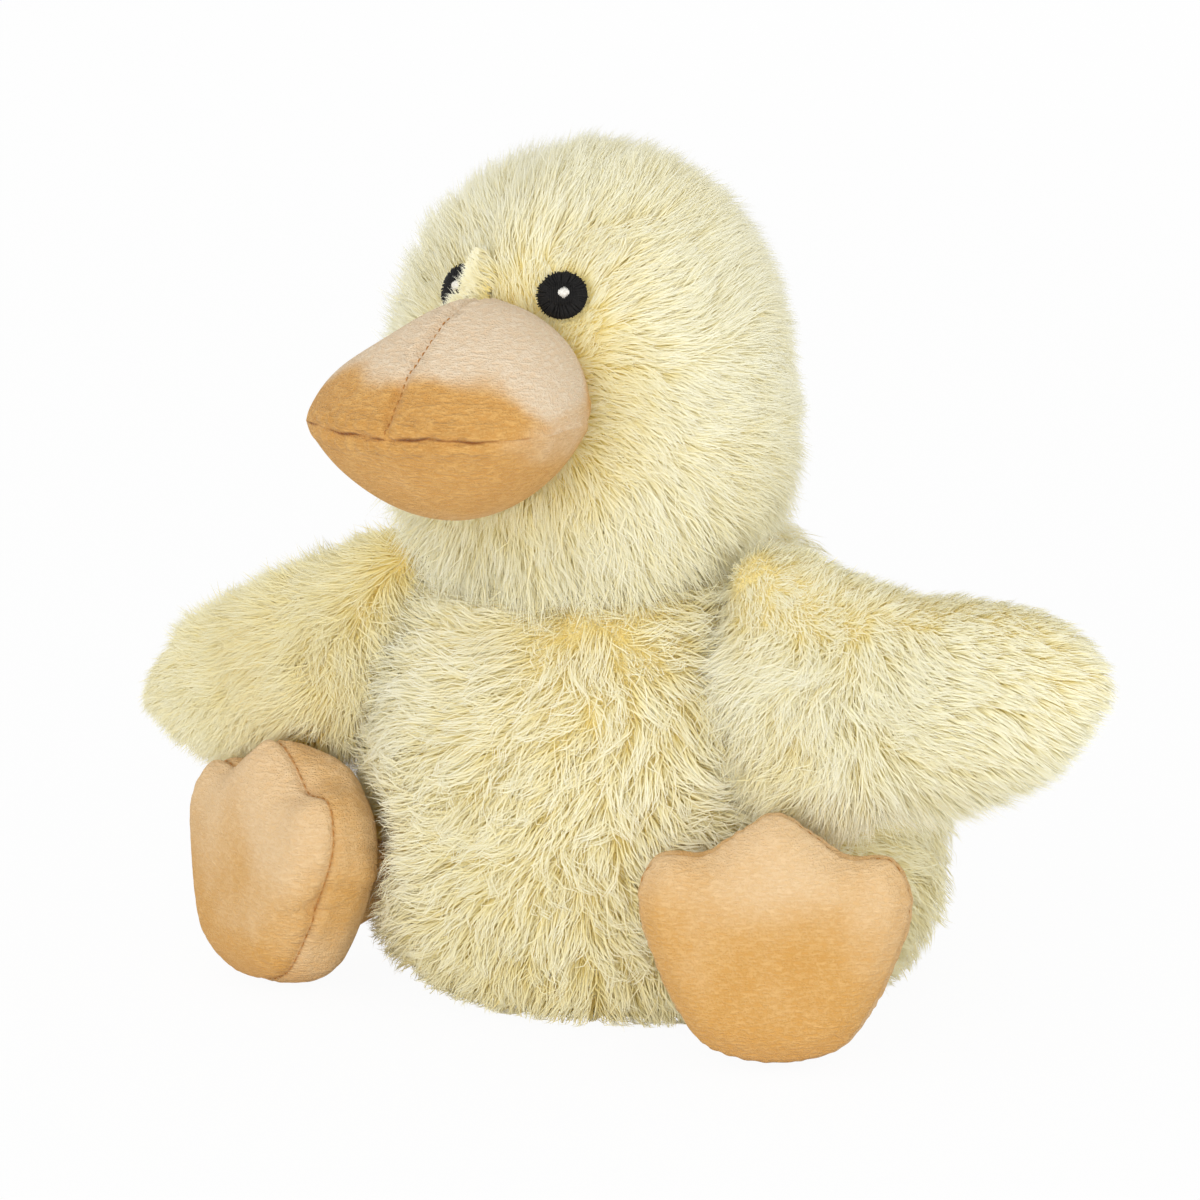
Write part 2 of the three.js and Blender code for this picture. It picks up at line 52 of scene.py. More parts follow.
# Forms, in millimetres, with the same values as the part's source
BODY_RADIUS, BELLY_HEIGHT = 81.0, 42.0
BODY_UP_REACH, BODY_DOWN_REACH, BODY_DOWN_FULLNESS = 108.0, 56.0, 2.6
NECK_HEIGHT, NECK_RADIUS, NECK_TANGENT = 69.56, 74.73, 105.0
SIDE_SEAM_Y = 8.0
HEAD_PLACE, HEAD_TILT = (-2.106, -23.0, 149.97), math.radians(-1.5)
HEAD_HALF_WIDTH, HEAD_HALF_DEPTH = 55.0, 54.0
HEAD_UP_REACH, HEAD_DOWN_REACH, HEAD_UP_FULLNESS = 86.0, 50.0, 2.3
GUSSET_HALF_WIDTH = 9.0
EYE_HEIGHT, EYE_OFFSET, EYE_RADIUS, EYE_PROUD = 50.0, 16.5, 7.0, 0.6
BILL_HALF_WIDTH, BILL_FRONT, BILL_BACK = 38.0, 28.0, 38.0
BILL_UPPER_HEIGHT, BILL_LOWER_HEIGHT = 30.0, 26.0
BILL_UPPER_ROUND, BILL_LOWER_ROUND = 1.3, 1.65
BILL_CREST_BACK, BILL_CHIN_BACK = 15.0, 4.0
BILL_PLACE, MOUTH_HEIGHT = (0.0, -78.0, 20.0), 20.0
WING_LENGTH, WING_TIP_LIFT = 94.0, 6.0
WING_HALF_HEIGHT, WING_ROOT_HALF_HEIGHT = 34.0, 32.0
WING_HALF_THICKNESS, WING_ROOT_RADIUS = 17.0, 7.0
WING_ROOT = (66.55, -41.59, 93.6)
WING_ROOT_AXIS = (-0.3024, 0.1890, 0.9342)
WING_AZIMUTH = math.radians(100.0)
WING_LIFT = {"left": math.radians(2.0), "right": math.radians(-22.0)}
FOOT_HALF_WIDTH, FOOT_HALF_HEIGHT, TOE_DIP = 37.0, 35.0, 12.0
SOLE_BULGE, FOOT_BACK_BULGE = 6.0, 20.0
FOOT_HINGE, LEG_LENGTH = (70.12, -60.96, 28.36), 16.0
FOOT_TURN_OUT, FOOT_LEAN = math.radians(27.0), math.radians(8.0)
SIDES = {"left": 1.0, "right": -1.0}

# How far each skin lies inside its solid, and the most that stuffing swells it, in millimetres
BODY_INSET, HEAD_INSET, WING_INSET, BILL_INSET, FOOT_INSET, POUCH_INSET = 8.5, 9.0, 8.0, -0.2, -0.6, 2.5
BODY_SWELL, HEAD_SWELL, WING_SWELL, BILL_SWELL, FOOT_SWELL, POUCH_SWELL = 3.0, 2.5, 2.0, 1.2, 2.6, 1.5
CLOTH_MASS, CLOTH_PRESSURE, CLOTH_FRAMES = 0.0002, 2000, 20

# Where the two wings and the two feet differ
WING_SHORTER = {"left": 0.75, "right": 0.3}
WING_TAPER = {"left": 5.0, "right": 2.5}
WING_SHOULDER = {"left": 8.0, "right": 0.0}
WING_TIP_CURL = {"left": 2.5, "right": 0.0}
# Painted shade of each wing's pile: the right wing coloured deeper, the left paler
WING_PAINTED_SHADE = {"left": -0.25, "right": 0.34}
WING_TOUSLE = {"left": ((0.15, 0.6), 0.12), "right": ((0.5, 0.95), 0.35)}
WING_SEED = {"left": 37, "right": 41}
FOOT_BACK_DROP = {"left": 11.0, "right": 3.0}
# Painted light on each sole: the left coloured darker than the right
FOOT_PAINTED_LIGHT = {"left": 0.36, "right": 0.5}

scene = bpy.context.scene


# Small helpers for rows of points
def unit(rows):
    """Rows of vectors, each made one long."""
    return rows / np.maximum(np.linalg.norm(rows, axis=-1, keepdims=True), 1e-9)


def ease(value, low, high):
    """Smooth rise from 0 at low to 1 at high."""
    share = np.clip((value - low) / (high - low), 0.0, 1.0)
    return share * share * (3.0 - 2.0 * share)


def signed_power(value, exponent):
    return np.sign(value) * np.abs(value) ** exponent


def level_ways(way):
    """The level part of each way, made one long."""
    return unit(np.concatenate((way[:, :2], np.zeros((len(way), 1))), axis=1))


def azimuth_of(points):
    """Degrees round the upright axis, 0 in front and 90 at the toy's left."""
    return np.degrees(np.arctan2(points[:, 0], -points[:, 1]))


def tree_of(points):
    tree = KDTree(len(points))
    for row, point in enumerate(points):
        tree.insert(point, row)
    tree.balance()
    return tree


def aimed(place, aim):
    """Turn of a camera or lamp at place that looks at aim."""
    return (Vector(aim) - Vector(place)).to_track_quat("-Z", "Y").to_euler()


def drift(points, size, seed):
    """Slow three-way noise at points in millimetres, with lumps about `size` across."""
    shift = Vector((seed * 7.13, seed * 3.71, seed * 5.37))
    return np.array([noise.noise_vector(Vector(p) / size + shift) for p in points])


# Frames of the head, bill and feet
HEAD_TURN = np.array(Matrix.Rotation(HEAD_TILT, 3, "Y"))
HEAD_ORIGIN = np.array(HEAD_PLACE)


def from_head(points):
    return points @ HEAD_TURN.T + HEAD_ORIGIN


def to_head(points):
    return (points - HEAD_ORIGIN) @ HEAD_TURN


def foot_frame(side):
    """Origin, rows (across, up, facing) and hinge point of a foot's pad."""
    hinge = np.array(FOOT_HINGE) * (side, 1, 1)
    radial = unit(np.array((hinge[0], hinge[1], 0.0)))
    origin = hinge + radial * LEG_LENGTH
    origin[2] = FOOT_HALF_HEIGHT * math.cos(FOOT_LEAN) - 0.5
    turn = side * FOOT_TURN_OUT
    level = np.array((math.sin(turn), -math.cos(turn), 0.0))
    facing = level * math.cos(FOOT_LEAN) + np.array((0, 0, math.sin(FOOT_LEAN)))
    across = unit(np.cross((0, 0, 1), facing))
    return origin, np.array((across, np.cross(facing, across), facing)), hinge


def wing_frame(side_name):
    """Hinge point, reach, root axis, tip axis and across of a wing."""
    side = SIDES[side_name]
    lift = WING_LIFT[side_name]
    hinge = np.array(WING_ROOT) * (side, 1, 1)
    axis = np.array(WING_ROOT_AXIS) * (side, 1, 1)
    reach = np.array((
        side * math.cos(lift) * math.sin(WING_AZIMUTH),
        -math.cos(lift) * math.cos(WING_AZIMUTH),
        math.sin(lift),
    ))
    across = unit(np.cross(reach, axis))
    tip_axis = unit(np.cross(across, reach))
    return hinge, reach, axis, tip_axis * np.sign(tip_axis[2]), across


def eye_frame(side):
    """Point on the head's outside and rows (level, up, out) of an eye."""
    share = 2 / HEAD_UP_FULLNESS
    angle = math.asin((EYE_HEIGHT / HEAD_UP_REACH) ** (1 / share))
    around = -math.acos(side * EYE_OFFSET / (HEAD_HALF_WIDTH * math.cos(angle) ** share))

    def point(a, b):
        across = math.cos(a) ** share
        return np.array((
            HEAD_HALF_WIDTH * across * math.cos(b),
            HEAD_HALF_DEPTH * across * math.sin(b),
            HEAD_UP_REACH * math.sin(a) ** share,
        ))

    here = point(angle, around)
    out = unit(np.cross(point(angle, around + 0.01) - here, point(angle + 0.01, around) - here))
    level = unit(np.cross((0, 0, 1), out))
    rows = np.array((level, np.cross(out, level), out))
    return from_head(here[None])[0], rows @ HEAD_TURN.T


EYES = {name: eye_frame(side) for name, side in SIDES.items()}
FEET = {name: foot_frame(side) for name, side in SIDES.items()}
WINGS = {name: wing_frame(name) for name in SIDES}


# Forms as functions of the directions of a ball
def body_radius(height, inset=0.0):
    radius = BODY_RADIUS - inset
    low = np.clip((BELLY_HEIGHT - height) / (BODY_DOWN_REACH - inset), 0, 1)
    high = np.clip((height - BELLY_HEIGHT) / (BODY_UP_REACH - inset), 0, 1)
    lower = radius * (1 - low ** BODY_DOWN_FULLNESS) ** (1 / BODY_DOWN_FULLNESS)
    upper = radius * np.sqrt(1 - high ** 2)
    ball = np.sqrt(np.maximum((NECK_RADIUS - inset) ** 2 - (height - NECK_HEIGHT) ** 2, 0))
    return np.where(height < BELLY_HEIGHT, lower, np.where(height < NECK_TANGENT, upper, ball))


def body_form(way, inset):
    """Body skin: a flat seat, a full belly and a ball that the head slides on."""
    angle = np.arcsin(np.clip(way[:, 2], -1, 1))
    share = 2 / BODY_DOWN_FULLNESS
    low = BELLY_HEIGHT - (BODY_DOWN_REACH - inset) * np.abs(np.sin(angle)) ** share
    top = NECK_HEIGHT + NECK_RADIUS - inset
    high = BELLY_HEIGHT + (top - BELLY_HEIGHT) * np.abs(np.sin(angle))
    z = np.where(angle < 0, low, high)
    radius = body_radius(z, inset)
    tight = np.cos(angle) ** share * (BODY_RADIUS - inset)
    radius = np.where(angle < 0, tight, radius)
    radius = np.where(np.cos(angle) < 1e-4, 0, radius)
    flat = level_ways(way)
    points = flat * radius[:, None]
    points[:, 2] = np.where(z < inset, 0.6 + 0.02 * np.maximum(z - inset, -20), z)
    points[:, 2] -= (inset - 0.6) * (1 - ease(points[:, 2], inset, 34)) * (z >= inset)
    azimuth = azimuth_of(points)
    shoulder = ease(azimuth, 50, 80) * (1 - ease(azimuth, 145, 172)) * ease(points[:, 2], 84, 106)
    points -= flat * (6.0 * shoulder)[:, None] + np.array((0, 0, 2.5)) * shoulder[:, None]
    return points


def head_form(way, inset):
    """Head skin: narrower above the cheeks, hollowed below to clear the neck ball."""
    angle = np.arcsin(np.clip(way[:, 2], -1, 1))
    share = np.where(angle < 0, 1.0, 2 / HEAD_UP_FULLNESS)
    across = np.cos(angle) ** share
    flat = level_ways(way)
    reach = np.where(angle < 0, HEAD_DOWN_REACH, HEAD_UP_REACH) - inset
    points = flat * across[:, None] * (HEAD_HALF_WIDTH - inset, HEAD_HALF_DEPTH - inset, 0)
    points[:, 2] = reach * signed_power(np.sin(angle), share)
    points[:, 0] -= 3.0 * ease(-points[:, 0], 15, 46)
    ridge = np.exp(-(points[:, 0] / 9) ** 2 - ((points[:, 2] - 56) / 18) ** 2) * (points[:, 1] < 0)
    points = from_head(points + np.array((0, -0.95, 0.3)) * (7.0 * ridge)[:, None])
    for place, rows in EYES.values():
        away = np.linalg.norm(points - place, axis=1)
        points += rows[2] * ((inset - 1.8) * np.exp(-(away / 10.5) ** 2))[:, None]
    hub = np.array((0, 0, NECK_HEIGHT))
    gap = np.linalg.norm(points - hub, axis=1)
    clear = np.maximum(gap, NECK_RADIUS + 2.5)
    return hub + (points - hub) * (clear / gap)[:, None]


def bill_form(way, inset):
    """Bill: a broad swelling shape whose mouth lies along its widest line."""
    around = np.arctan2(way[:, 1], way[:, 0])
    rise = np.abs(way[:, 2])
    share = np.sqrt(np.maximum(1 - rise ** 2, 0))
    upper = way[:, 2] > 0
    swell = rise ** np.where(upper, BILL_UPPER_ROUND, BILL_LOWER_ROUND)
    reach = np.where(np.sin(around) < 0, BILL_FRONT, BILL_BACK) - inset
    shift = np.where(upper, BILL_CREST_BACK, BILL_CHIN_BACK)
    height = np.where(upper, BILL_UPPER_HEIGHT - inset, inset - BILL_LOWER_HEIGHT)
    points = np.stack((
        (BILL_HALF_WIDTH - inset) * np.cos(around) * share,
        reach * signed_power(np.sin(around), 0.9) * share + shift * swell,
        height * swell,
    ), axis=1) + BILL_PLACE
    hollow = np.exp(-((points[:, 0] + 26) / 13) ** 2 - ((points[:, 1] + 64) / 16) ** 2) * upper
    points[:, 2] -= 11.5 * hollow * swell
    return from_head(points)


def wing_centre(t, side_name):
    hinge, reach = WINGS[side_name][:2]
    lift = WING_TIP_LIFT * t * t + WING_TIP_CURL[side_name] * t ** 4
    return hinge + reach * (WING_LENGTH * t)[:, None] + (0, 0, 1) * lift[:, None]


def wing_form(way, inset, side_name):
    """Wing: swells from a rounded root and tapers to its tip."""
    axis, tip_axis, across = WINGS[side_name][2:]
    t = 0.5 * (1 + way[:, 0])
    theta = np.arctan2(way[:, 2], way[:, 1])
    stretch = t * (1 - WING_SHORTER[side_name] * inset / WING_LENGTH) - 0.13 * (1 - ease(t, 0, 0.16))
    taper = np.maximum(1 - t ** WING_TAPER[side_name], 0) ** 0.52
    shoulder = WING_SHOULDER[side_name] * (1 - ease(t, 0.1, 0.5))
    swell = ease(t, 0, 0.32)
    cap = np.sqrt(np.maximum(1 - np.maximum(1 - t / 0.09, 0) ** 2, 0))
    tall = (WING_ROOT_HALF_HEIGHT + (WING_HALF_HEIGHT - WING_ROOT_HALF_HEIGHT) * swell) * taper
    thick = (WING_ROOT_RADIUS + (WING_HALF_THICKNESS - WING_ROOT_RADIUS) * swell) * taper
    inset = inset * ease(t, 0.0, 0.3)
    tall = np.maximum(tall - inset, tall * 0.45) * cap
    thick = np.maximum(thick - inset, thick * 0.45) * cap
    upward = axis + (tip_axis - axis) * t[:, None]
    points = wing_centre(stretch, side_name)
    rise = tall * np.cos(theta) + shoulder * np.maximum(np.cos(theta), 0)
    return points + upward * rise[:, None] + across * (thick * np.sin(theta))[:, None]


def foot_outline(around):
    """Radius of the three-toed outline at an angle from across, through its corner points."""
    w, h, d = FOOT_HALF_WIDTH, FOOT_HALF_HEIGHT, TOE_DIP
    half = np.array((
        (0, h), (0.28 * w, h - 0.45 * d), (0.54 * w, h - d), (0.84 * w, h - d), (w, 0.38 * h),
        (0.93 * w, 0), (0.73 * w, -0.5 * h), (0.45 * w, -0.86 * h), (0, -h),
    ))
    ring = np.concatenate((half, (half[1:-1] * (-1, 1))[::-1]))
    ring = np.concatenate((ring[-3:], ring, ring[:4]))
    steps = np.linspace(0, 1, 24, endpoint=False)[:, None]
    a, b, c, e = (ring[k:len(ring) - 3 + k, None] for k in range(4))
    curve = 0.5 * (
        2 * b + (c - a) * steps + (2 * a - 5 * b + 4 * c - e) * steps ** 2
        + (3 * b - 3 * c + e - a) * steps ** 3
    )
    curve = curve.reshape(-1, 2)
    angles = np.arctan2(curve[:, 1], curve[:, 0])
    order = np.argsort(angles)
    return np.interp(around, angles[order], np.hypot(*curve[order].T), period=2 * math.pi)


def foot_form(way, inset, side_name):
    """Foot: a three-toed pad with a flat-ish sole, a fuller back and a short ankle into the body."""
    origin, rows, hinge = FEET[side_name]
    around = np.arctan2(way[:, 1], way[:, 0])
    rise = np.abs(way[:, 2])
    share = np.sqrt(np.maximum(1 - rise ** 2, 0))
    swell = rise ** 0.6
    sole = way[:, 2] > 0
    height = np.where(sole, SOLE_BULGE + 2.5, inset - FOOT_BACK_BULGE)
    toes = ease(np.sin(around), 0.1, 0.6)
    inner = ease(np.cos(around), -0.2, 0.6) if side_name == "right" else 0.0
    full = np.where(sole, 2.8 - 1.6 * toes - 0.9 * inner, 2.2 + 0.8 * toes + 3.6 * inner)
    drawn_in = 1.6 - 1.2 * inner + inset
    outline = foot_outline(around)
    back_height = FOOT_HALF_HEIGHT - FOOT_BACK_DROP[side_name]
    plain = 1 / np.hypot(np.cos(around) / FOOT_HALF_WIDTH, np.sin(around) / back_height)
    plain = np.where(np.sin(around) > 0, plain, outline)
    outline += np.where(sole, 0, ease(rise, 0, 0.45)) * (plain - outline)
    radius = (outline - drawn_in) * share + full * np.sin(math.pi * rise ** 0.8)
    local = np.stack((radius * np.cos(around), radius * np.sin(around), height * swell), axis=1)
    valley = np.exp(-((np.abs(local[:, 0]) - 21) / 5) ** 2 - ((local[:, 1] - 20) / 9) ** 2)
    local[:, 2] -= np.where(sole, 1.8 * valley * ease(rise, 0, 0.4), 0)
    ankle = rows @ (hinge - origin)
    aside = np.linalg.norm(local[:, :2] - ankle[:2], axis=1)
    pull = np.where(sole, 0, 16 * np.exp(-(aside / 12.5) ** 4))
    inward = -unit(np.array((hinge[0], hinge[1], 0.0)))
    points = origin + local @ rows + inward * pull[:, None]
    low = np.minimum(points[:, 2], 6.0)
    points[:, 2] = np.where(points[:, 2] < 6, np.maximum(0.3 + (low + 2) * 0.7125, 0.3), points[:, 2])
    return points


# Ball of quads: a subdivided cube, every vertex moved to its place on the form
def moulded(name, cuts, form):
    """A new piece from a cube subdivided into an even grid, each corner moved by `form`."""
    bpy.ops.object.select_all(action="DESELECT")
    bpy.ops.mesh.primitive_cube_add(size=2, location=(0, 0, 0))
    piece = bpy.context.object
    piece.name = piece.data.name = name
    bpy.ops.object.mode_set(mode="EDIT")
    bpy.ops.mesh.select_all(action="SELECT")
    bpy.ops.mesh.subdivide(number_cuts=cuts)
    bpy.ops.object.mode_set(mode="OBJECT")
    way = corners(piece)
    way = unit(np.tan(way * (math.pi / 4)))
    move_to(piece, form(way))
    outward(piece)
    bpy.ops.object.shade_smooth()
    return piece, way


def vertex_rows(piece, field):
    rows = np.empty(len(piece.data.vertices) * 3)
    piece.data.vertices.foreach_get(field, rows)
    return rows.reshape(-1, 3)


def corners(piece):
    return vertex_rows(piece, "co")


def places(piece):
    """Vertices in millimetres."""
    return corners(piece) / MM


def normals(piece):
    return vertex_rows(piece, "normal")


def store(piece, name, values):
    """Keeps one number for each vertex under a name."""
    layer = piece.data.attributes.new(name, "FLOAT", "POINT")
    layer.data.foreach_set("value", values.astype(np.float32))


def move_to(piece, points):
    """Sets the vertices to points in millimetres."""
    piece.data.vertices.foreach_set("co", (points * MM).ravel())
    piece.data.update()


def outward(piece):
    bpy.ops.object.mode_set(mode="EDIT")
    bpy.ops.mesh.select_all(action="SELECT")
    bpy.ops.mesh.normals_make_consistent(inside=False)
    bpy.ops.object.mode_set(mode="OBJECT")


def only(piece):
    bpy.ops.object.select_all(action="DESELECT")
    piece.select_set(True)
    bpy.context.view_layer.objects.active = piece


def stuff(piece, seam, cap):
    """Swells a closed skin by cloth pressure, its seam held, no point moving further than cap."""
    only(piece)
    rest = corners(piece)
    held = piece.vertex_groups.new(name="seam")
    held.add([int(i) for i in np.flatnonzero(seam)], 1.0, "REPLACE")
    cloth = piece.modifiers.new("stuffing", "CLOTH")
    cloth.settings.vertex_group_mass = "seam"
    cloth.settings.quality = 4
    cloth.settings.mass = CLOTH_MASS
    cloth.settings.tension_stiffness = cloth.settings.compression_stiffness = 3
    cloth.settings.shear_stiffness = 1
    cloth.settings.bending_stiffness = 0.02
    cloth.settings.use_pressure = True
    cloth.settings.uniform_pressure_force = CLOTH_PRESSURE
    cloth.settings.effector_weights.gravity = 0
    cloth.collision_settings.use_collision = False
    cloth.point_cache.frame_start, cloth.point_cache.frame_end = 1, CLOTH_FRAMES
    for step in range(1, CLOTH_FRAMES + 1):
        scene.frame_set(step)
    bpy.ops.object.modifier_apply(modifier=cloth.name)
    scene.frame_set(1)
    moved = corners(piece) - rest
    far = np.linalg.norm(moved, axis=1, keepdims=True)
    soft_cap = cap * MM * np.tanh(far / (cap * MM))
    move_to(piece, (rest + moved / np.maximum(far, 1e-9) * soft_cap) / MM)
    piece.vertex_groups.clear()


def refine(piece, seams):
    """Makes a piece twice as fine; gives back which of its new vertices lie on each seam."""
    for name, mask in seams.items():
        store(piece, name, mask)
    only(piece)
    finer = piece.modifiers.new("finer", "SUBSURF")
    finer.levels = finer.render_levels = 1
    bpy.ops.object.modifier_apply(modifier=finer.name)
    found = {}
    for name in seams:
        values = np.empty(len(piece.data.vertices), dtype=np.float32)
        piece.data.attributes[name].data.foreach_get("value", values)
        found[name] = values > 0.99
        piece.data.attributes.remove(piece.data.attributes[name])
    return found


def sewn(piece, seam, run, depth, width, pitch, seed):
    """Draws a skin in along a seam between two soft lips, with small uneven puckers beside it."""
    points, facing = places(piece), normals(piece)
    tree = tree_of(points[seam])
    gap = np.array([tree.find(point)[2] for point in points])
    uneven = drift(np.stack((run, gap, np.zeros(len(gap))), axis=1), 9, seed)[:, 0]
    groove = depth * (0.8 + 0.8 * uneven) * np.exp(-(gap / width) ** 2)
    beside = np.exp(-((gap - 2.6 * width) / (1.5 * width)) ** 2)
    pucker = np.sin(2 * math.pi * run / pitch + 6 * uneven) * (0.6 + uneven)
    move_to(piece, points + facing * (depth * beside * (0.2 + 0.22 * pucker) - groove)[:, None])
    return gap


def seam_runs(piece, seam, run, pitch, share, width):
    """Short laid stitches along the vertices that lie on a seam."""
    on_seam = np.flatnonzero(seam)
    on_seam = on_seam[np.argsort(run[on_seam])]
    points, facing = places(piece)[on_seam], normals(piece)[on_seam]
    reach = np.concatenate(((0,), np.cumsum(np.linalg.norm(np.diff(points, axis=0), axis=1))))
    runs = []
    for start in np.arange(pitch, reach[-1] - pitch, pitch):
        spots = start + np.array((-0.5, -0.2, 0.2, 0.5)) * pitch * share
        line = np.stack([np.interp(spots, reach, points[:, k]) for k in range(3)], axis=1)
        out = unit(np.array([np.interp(start, reach, facing[:, k]) for k in range(3)]))
        runs.append((list(line + out * np.array((0.0, 0.3, 0.3, 0.0))[:, None]), width, out))
    return runs


def store_velour_light_and_shade(piece, nap, ridges, crease):
    """Stores, from 0 to 1, how pale the velour is painted (largely painted sheen and light), how ridged it
    lies and how much painted shade darkens a seam.
    """
    for name, values in (("nap", nap), ("ridges", ridges), ("crease", crease)):
        store(piece, name, np.clip(values, 0, 1))


def settle(piece, body, material, replaced=()):
    """Gives a finished piece its material and body, and hides the CAD nodes it stands for."""
    piece.data.materials.clear()
    piece.data.materials.append(material)
    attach(piece, body)
    if replaced:
        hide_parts(*replaced)
    return piece


# Materials
def tone(red, green, blue):
    """A colour written as on screen, from 0 to 255, as the shader takes it."""
    parts = (np.array((red, green, blue)) / 255.0).tolist()
    return (*[c / 12.92 if c <= 0.04045 else ((c + 0.055) / 1.055) ** 2.4 for c in parts], 1.0)


class Wire:
    """A shader socket that takes part in sums, and the one way to add a node."""

    def __init__(self, tree, socket=None):
        self.tree, self.socket = tree, socket

    def node(self, kind, settings=None, sockets=None, out=0):
        made = self.tree.nodes.new(kind)
        for key, value in (settings or {}).items():
            if key == "stops":
                ramp = made.color_ramp.elements
                while len(ramp) < len(value):
                    ramp.new(0.5)
                for stop, (place, colour) in zip(ramp, value):
                    stop.position, stop.color = place, colour
            else:
                setattr(made, key, value)
        for key, value in (sockets or {}).items():
            if isinstance(value, Wire):
                self.tree.links.new(value.socket, made.inputs[key])
            else:
                made.inputs[key].default_value = value
        return Wire(self.tree, made.outputs[out])

    def sum(self, operation, first, second):
        return self.node("ShaderNodeMath", {"operation": operation}, {0: first, 1: second})

    def __add__(self, other):
        return self.sum("ADD", self, other)

    def __radd__(self, other):
        return self.sum("ADD", other, self)

    def __sub__(self, other):
        return self.sum("SUBTRACT", self, other)

    def __rsub__(self, other):
        return self.sum("SUBTRACT", other, self)

    def __mul__(self, other):
        return self.sum("MULTIPLY", self, other)

    def __rmul__(self, other):
        return self.sum("MULTIPLY", other, self)

    def __pow__(self, other):
        return self.sum("POWER", self, other)


def blank(name):
    """A new material's first wire and its output node."""
    material = bpy.data.materials.new(name)
    material.use_nodes = True
    material.node_tree.nodes.clear()
    wire = Wire(material.node_tree)
    end = material.node_tree.nodes.new("ShaderNodeOutputMaterial")
    return material, wire, end


def mix(wire, factor, first, second):
    return wire.node(
        "ShaderNodeMix", {"data_type": "RGBA"}, {"Factor": factor, 6: first, 7: second}, out=2,
    )


def clamped(wire, value, low, high, to_low=0.0, to_high=1.0):
    return wire.node(
        "ShaderNodeMapRange", {"interpolation_type": "SMOOTHSTEP"},
        {"Value": value, "From Min": low, "From Max": high, "To Min": to_low, "To Max": to_high},
    )


def object_place(wire, scale=(1, 1, 1)):
    place = wire.node("ShaderNodeTexCoord", out=3)
    return wire.node("ShaderNodeMapping", {"vector_type": "POINT"}, {"Vector": place, "Scale": scale})


def grain_of(wire, place, scale, detail=2.0, rough=0.5):
    return wire.node(
        "ShaderNodeTexNoise", {"noise_dimensions": "3D"},
        {"Vector": place, "Scale": scale, "Detail": detail, "Roughness": rough},
    )


def bumped(wire, strength, distance, height):
    return wire.node("ShaderNodeBump", sockets={"Strength": strength, "Distance": distance, "Height": height})


def stored(wire, name):
    return wire.node("ShaderNodeAttribute", {"attribute_name": name}, out=2)


def ramp(wire, along, *stops):
    return wire.node("ShaderNodeValToRGB", {"stops": stops}, {"Fac": along})


def surfaced(material, wire, end, sockets):
    """The material, ended in one principled surface."""
    shader = wire.node("ShaderNodeBsdfPrincipled", sockets=sockets)
    wire.tree.links.new(shader.socket, end.inputs["Surface"])
    return material


def pile_material():
    """Long pile: gold at the roots, partly painted shade of the deep pile, cream at the tips, each tuft a
    little different.
    """
    material, wire, end = blank("long_pile")
    place = wire.node("ShaderNodeUVMap", {"uv_map": "OFBake"})
    across = wire.node("ShaderNodeSeparateXYZ", sockets={"Vector": place}, out=0)
    along = wire.node("ShaderNodeSeparateXYZ", sockets={"Vector": place}, out=1)
    pale = ramp(
        wire, along,
        (0.0, tone(246, 228, 148)), (0.35, tone(250, 241, 196)),
        (0.7, tone(252, 249, 222)), (1.0, tone(253, 252, 238)),
    )
    warm = ramp(
        wire, along,
        (0.0, tone(242, 213, 114)), (0.4, tone(247, 231, 163)),
        (0.8, tone(250, 243, 203)), (1.0, tone(252, 249, 224)),
    )
    # Amber: the painted shade tone, reached only where shade is painted on the pile
    painted_shade_amber = ramp(
        wire, along,
        (0.0, tone(230, 182, 78)), (0.4, tone(238, 204, 112)),
        (0.8, tone(245, 224, 150)), (1.0, tone(250, 238, 182)),
    )
    colour = mix(wire, clamped(wire, across, 0.0, 0.5), pale, warm)
    colour = mix(wire, clamped(wire, across, 0.5, 1.0), colour, painted_shade_amber)
    return surfaced(material, wire, end, {
        "Base Color": colour, "Roughness": 0.75, "Specular IOR Level": 0.2,
    })


def backing_material():
    """Backing cloth under the pile, in the gold of the pile's roots, partly painted shade between the
    strands, with a short felted nap.
    """
    material, wire, end = blank("pile_backing")
    place = object_place(wire)
    patches = grain_of(wire, place, 60, 3)
    nap = grain_of(wire, place, 900, 2)
    colour = mix(wire, patches, tone(245, 222, 144), tone(248, 232, 168))
    colour = mix(wire, nap * 0.4, colour, tone(251, 241, 190))
    bump = bumped(wire, 0.8, 0.002, nap)
    return surfaced(material, wire, end, {
        "Base Color": colour, "Roughness": 0.95, "Normal": bump, "Sheen Weight": 0.3,
    })


